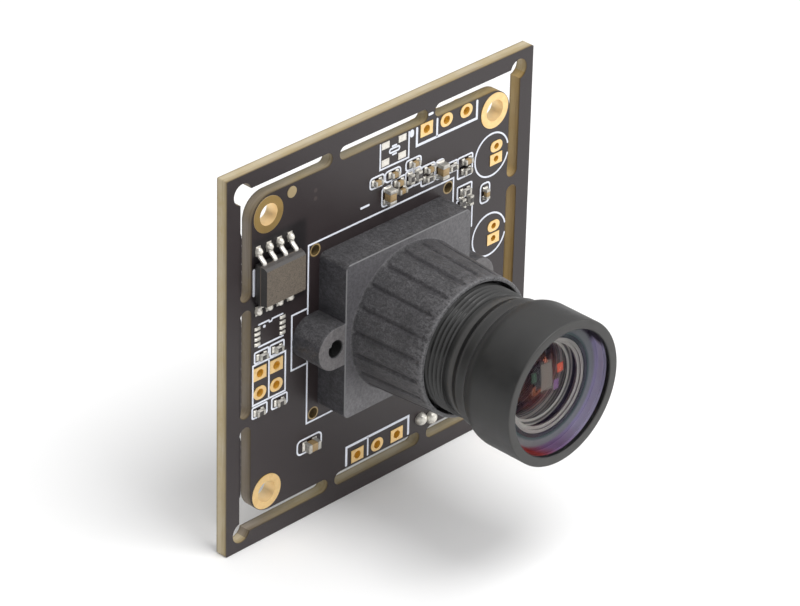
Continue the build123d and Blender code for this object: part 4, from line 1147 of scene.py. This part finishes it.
thin, bold = ink["width"], ink["bold"]
edgeCut = math.degrees(math.acos((16.0 - 13.85) / 2.2))  # where a round outline meets the inner board's edge
strokes = [
    ([(-9.2, 9.1), (9.0, 9.1), (9.0, 2.8), (11.15, 2.8), (11.15, -2.8), (9.0, -2.8), (9.0, -9.1),
      (-9.2, -9.1), (-9.2, -2.8), (-11.15, -2.8), (-11.15, 2.8), (-9.2, 2.8), (-9.2, 9.1)], thin),
    ([(-9.2, 2.7), (-9.2, 2.14)], thin),
    ([(-9.2, -2.14), (-9.2, -2.7)], thin),
    ([(-2.85, 10.37), (-1.7, 10.37)], 0.2),
    ([(-0.48, 15.95), (-0.48, 13.35), (3.1, 13.35), (3.1, 15.95)], thin),
    (boxPath(0.68, 14.6, 1.92, 14.98, 0.18), 0.17),
    ([(0.95, 15.2), (1.6, 15.2)], 0.17),
    ([(1.0, 14.36), (1.6, 14.36)], 0.17),
    ([(3.46, 15.22), (3.46, 15.98)], 0.5),
    ([(5.5, 16.72), (6.15, 16.72)], bold),
    ([(4.1, 16.0), (4.1, 14.12), (11.78, 14.12), (11.78, 16.0)], bold),
    ([(6.67, 14.12), (6.67, 16.0)], 0.22),
    (arcPath(13.9, 9.65, 2.16, edgeCut, 360 - edgeCut), thin),
    (arcPath(13.9, 1.4, 2.16, edgeCut, 360 - edgeCut), thin),
    (boxPath(-15.85, -4.5, -11.9, -0.45), thin),
    ([(-13.9, -0.45), (-13.9, -4.5)], thin),
    (boxPath(-15.65, -0.28, -13.97, 0.8, 0.12), thin),
    (boxPath(-13.78, -0.28, -12.1, 0.8, 0.12), thin),
    (boxPath(-15.9, -5.85, -14.12, -4.75, 0.14), thin),
    (boxPath(-13.52, -5.85, -11.65, -4.75, 0.16), thin),
    ([(-15.78, 9.3), (-15.78, 6.55)], 0.3),
    ([(-15.25, 3.5), (-13.98, 3.5), (-13.86, 3.3), (-13.64, 3.3), (-13.52, 3.5), (-12.2, 3.5)], thin),
    ([(-15.25, 1.25), (-12.15, 1.25)], thin),
    ([(-14.66, 3.1), (-14.34, 3.1)], 0.28),
    (boxPath(-10.3, -12.1, -7.3, -10.65, 0.45), thin),
    ([(-4.05, -15.85), (-4.05, -13.85), (3.95, -13.85), (3.95, -15.85)], bold),
    ([(-1.3, -13.85), (-1.3, -15.85)], thin),
    (boxPath(9.55, 6.65, 11.4, 7.85, 0.12), thin),
    (boxPath(9.5, 5.25, 10.5, 6.45, 0.12), thin),
    ([(11.55, 6.4), (11.55, 3.1)], thin),
    (boxPath(12.6, 5.0, 13.8, 7.0, 0.4), thin),
    (boxPath(-1.68, 11.8, 0.08, 12.85, 0.3), thin),
    (boxPath(0.2, 11.8, 2.12, 12.85, 0.35), thin),
    (boxPath(2.8, 12.0, 4.7, 13.0, 0.3), thin),
    (boxPath(-0.15, 9.5, 1.1, 11.35, 0.3), thin),
    ([(1.02, 11.35), (1.02, 11.62), (1.16, 11.76), (2.68, 11.76)], thin),
    (boxPath(2.8, 10.2, 3.7, 11.86, 0.12), thin),
    (boxPath(3.82, 10.2, 4.7, 11.86, 0.12), thin),
    (boxPath(4.78, 9.72, 6.52, 11.68, 0.25), thin),
    (boxPath(6.62, 9.72, 7.68, 11.6, 0.35), thin),
    (boxPath(7.82, 9.8, 9.4, 10.82, 0.1), thin),
    (boxPath(9.5, 8.72, 11.4, 9.75, 0.15), thin),
    (boxPath(9.5, 9.75, 11.4, 10.82, 0.2), thin),
]
makePiece("boardMarkings", [strokeShell(path, width) for path, width in strokes], "root",
          [finishes["ink"]], sharpAngle=40)
print("board markings made:", len(strokes), "strokes")


# Floor, lights and camera


floor = {"level": -19.05, "half": 2500.0, "colour": (0.95, 0.95, 0.95)}
floorFinish, floorTree = newFinish("paleFloor", floor["colour"], 0.75)
coat(floorFinish, blend(noise(space(floorTree), 0.02, 3), floor["colour"], (0.94, 0.94, 0.94)))
half = floor["half"]
corners = [(-half, -half), (half, -half), (half, half), (-half, half)]
floorMesh = bpy.data.meshes.new("studioFloor")
floorMesh.from_pydata([(x * mm, y * mm, floor["level"] * mm) for x, y in corners], [], [(0, 1, 2, 3)])
floorMesh.materials.append(floorFinish)
floorPiece = bpy.data.objects.new("studioFloor", floorMesh)
bpy.context.scene.collection.objects.link(floorPiece)

studio = {
    "low": 0.08, "high": 1.36, "side": (0.30, -0.75, 1.0),  # the room brightens towards this direction
    "lamps": [  # name, place, size, power in watts
        ("overheadSoftbox", (20, -150, 330), (170, 140), 0.62),
        ("lowSoftbox", (300, -225, 10), (70, 60), 0.09),
    ],
}
world = bpy.data.worlds.new("studioRoom")
bpy.context.scene.world = world
world.use_nodes = True
room = world.node_tree
direction = room.nodes.new("ShaderNodeTexCoord").outputs["Generated"]
toLight = room.nodes.new("ShaderNodeVectorMath")
toLight.operation = "DOT_PRODUCT"
room.links.new(direction, toLight.inputs[0])
sideLength = math.sqrt(sum(part**2 for part in studio["side"]))
toLight.inputs[1].default_value = [part / sideLength for part in studio["side"]]
room.nodes["Background"].inputs["Color"].default_value = (1, 1, 1, 1)
feed(room.nodes["Background"].inputs["Strength"],
     spread(toLight.outputs["Value"], -0.3, 1.0, studio["low"], studio["high"]))
for name, spot, size, power in studio["lamps"]:
    light = bpy.data.lights.new(name, "AREA")
    light.shape = "RECTANGLE"
    light.size, light.size_y = size[0] * mm, size[1] * mm
    light.energy = power
    lamp = bpy.data.objects.new(name, light)
    lamp.location = [part * mm for part in spot]
    aim = -lamp.location.normalized()
    lamp.rotation_euler = aim.to_track_quat("-Z", "Y").to_euler()
    bpy.context.scene.collection.objects.link(lamp)

view = {"azimuth": -46.0822, "elevation": 30.0486, "roll": 1.4208, "focal": 4518.4683, "distance": 404.3995,
        "shiftRight": 1.719, "shiftUp": -0.2787, "pixelsAcross": 800, "sensor": 36.0}


def cameraMatrix(s):
    # axes of the camera from azimuth and elevation, turned by the roll, then set off along all three
    a, e, roll = (math.radians(s[part]) for part in ("azimuth", "elevation", "roll"))
    back = np.array([math.sin(a) * math.cos(e), -math.cos(a) * math.cos(e), math.sin(e)])
    right = np.array([math.cos(a), math.sin(a), 0])
    up = np.cross(back, right)
    turned = math.cos(roll) * right + math.sin(roll) * up
    upright = math.cos(roll) * up - math.sin(roll) * right
    spot = (s["shiftRight"] * turned + s["shiftUp"] * upright + s["distance"] * back) * mm
    matrix = np.eye(4)
    matrix[:3, 0], matrix[:3, 1], matrix[:3, 2], matrix[:3, 3] = turned, upright, back, spot
    return Matrix(matrix.tolist())


cameraData = bpy.data.cameras.new("photoCamera")
cameraData.sensor_width = view["sensor"]
cameraData.sensor_fit = "HORIZONTAL"
cameraData.lens = view["focal"] * view["sensor"] / view["pixelsAcross"]
cameraData.clip_start, cameraData.clip_end = 0.01, 20
camera = bpy.data.objects.new("photoCamera", cameraData)
camera.matrix_world = cameraMatrix(view)
bpy.context.scene.collection.objects.link(camera)
bpy.context.scene.camera = camera
bpy.context.scene.view_settings.view_transform = "Standard"
print("studio and camera set")
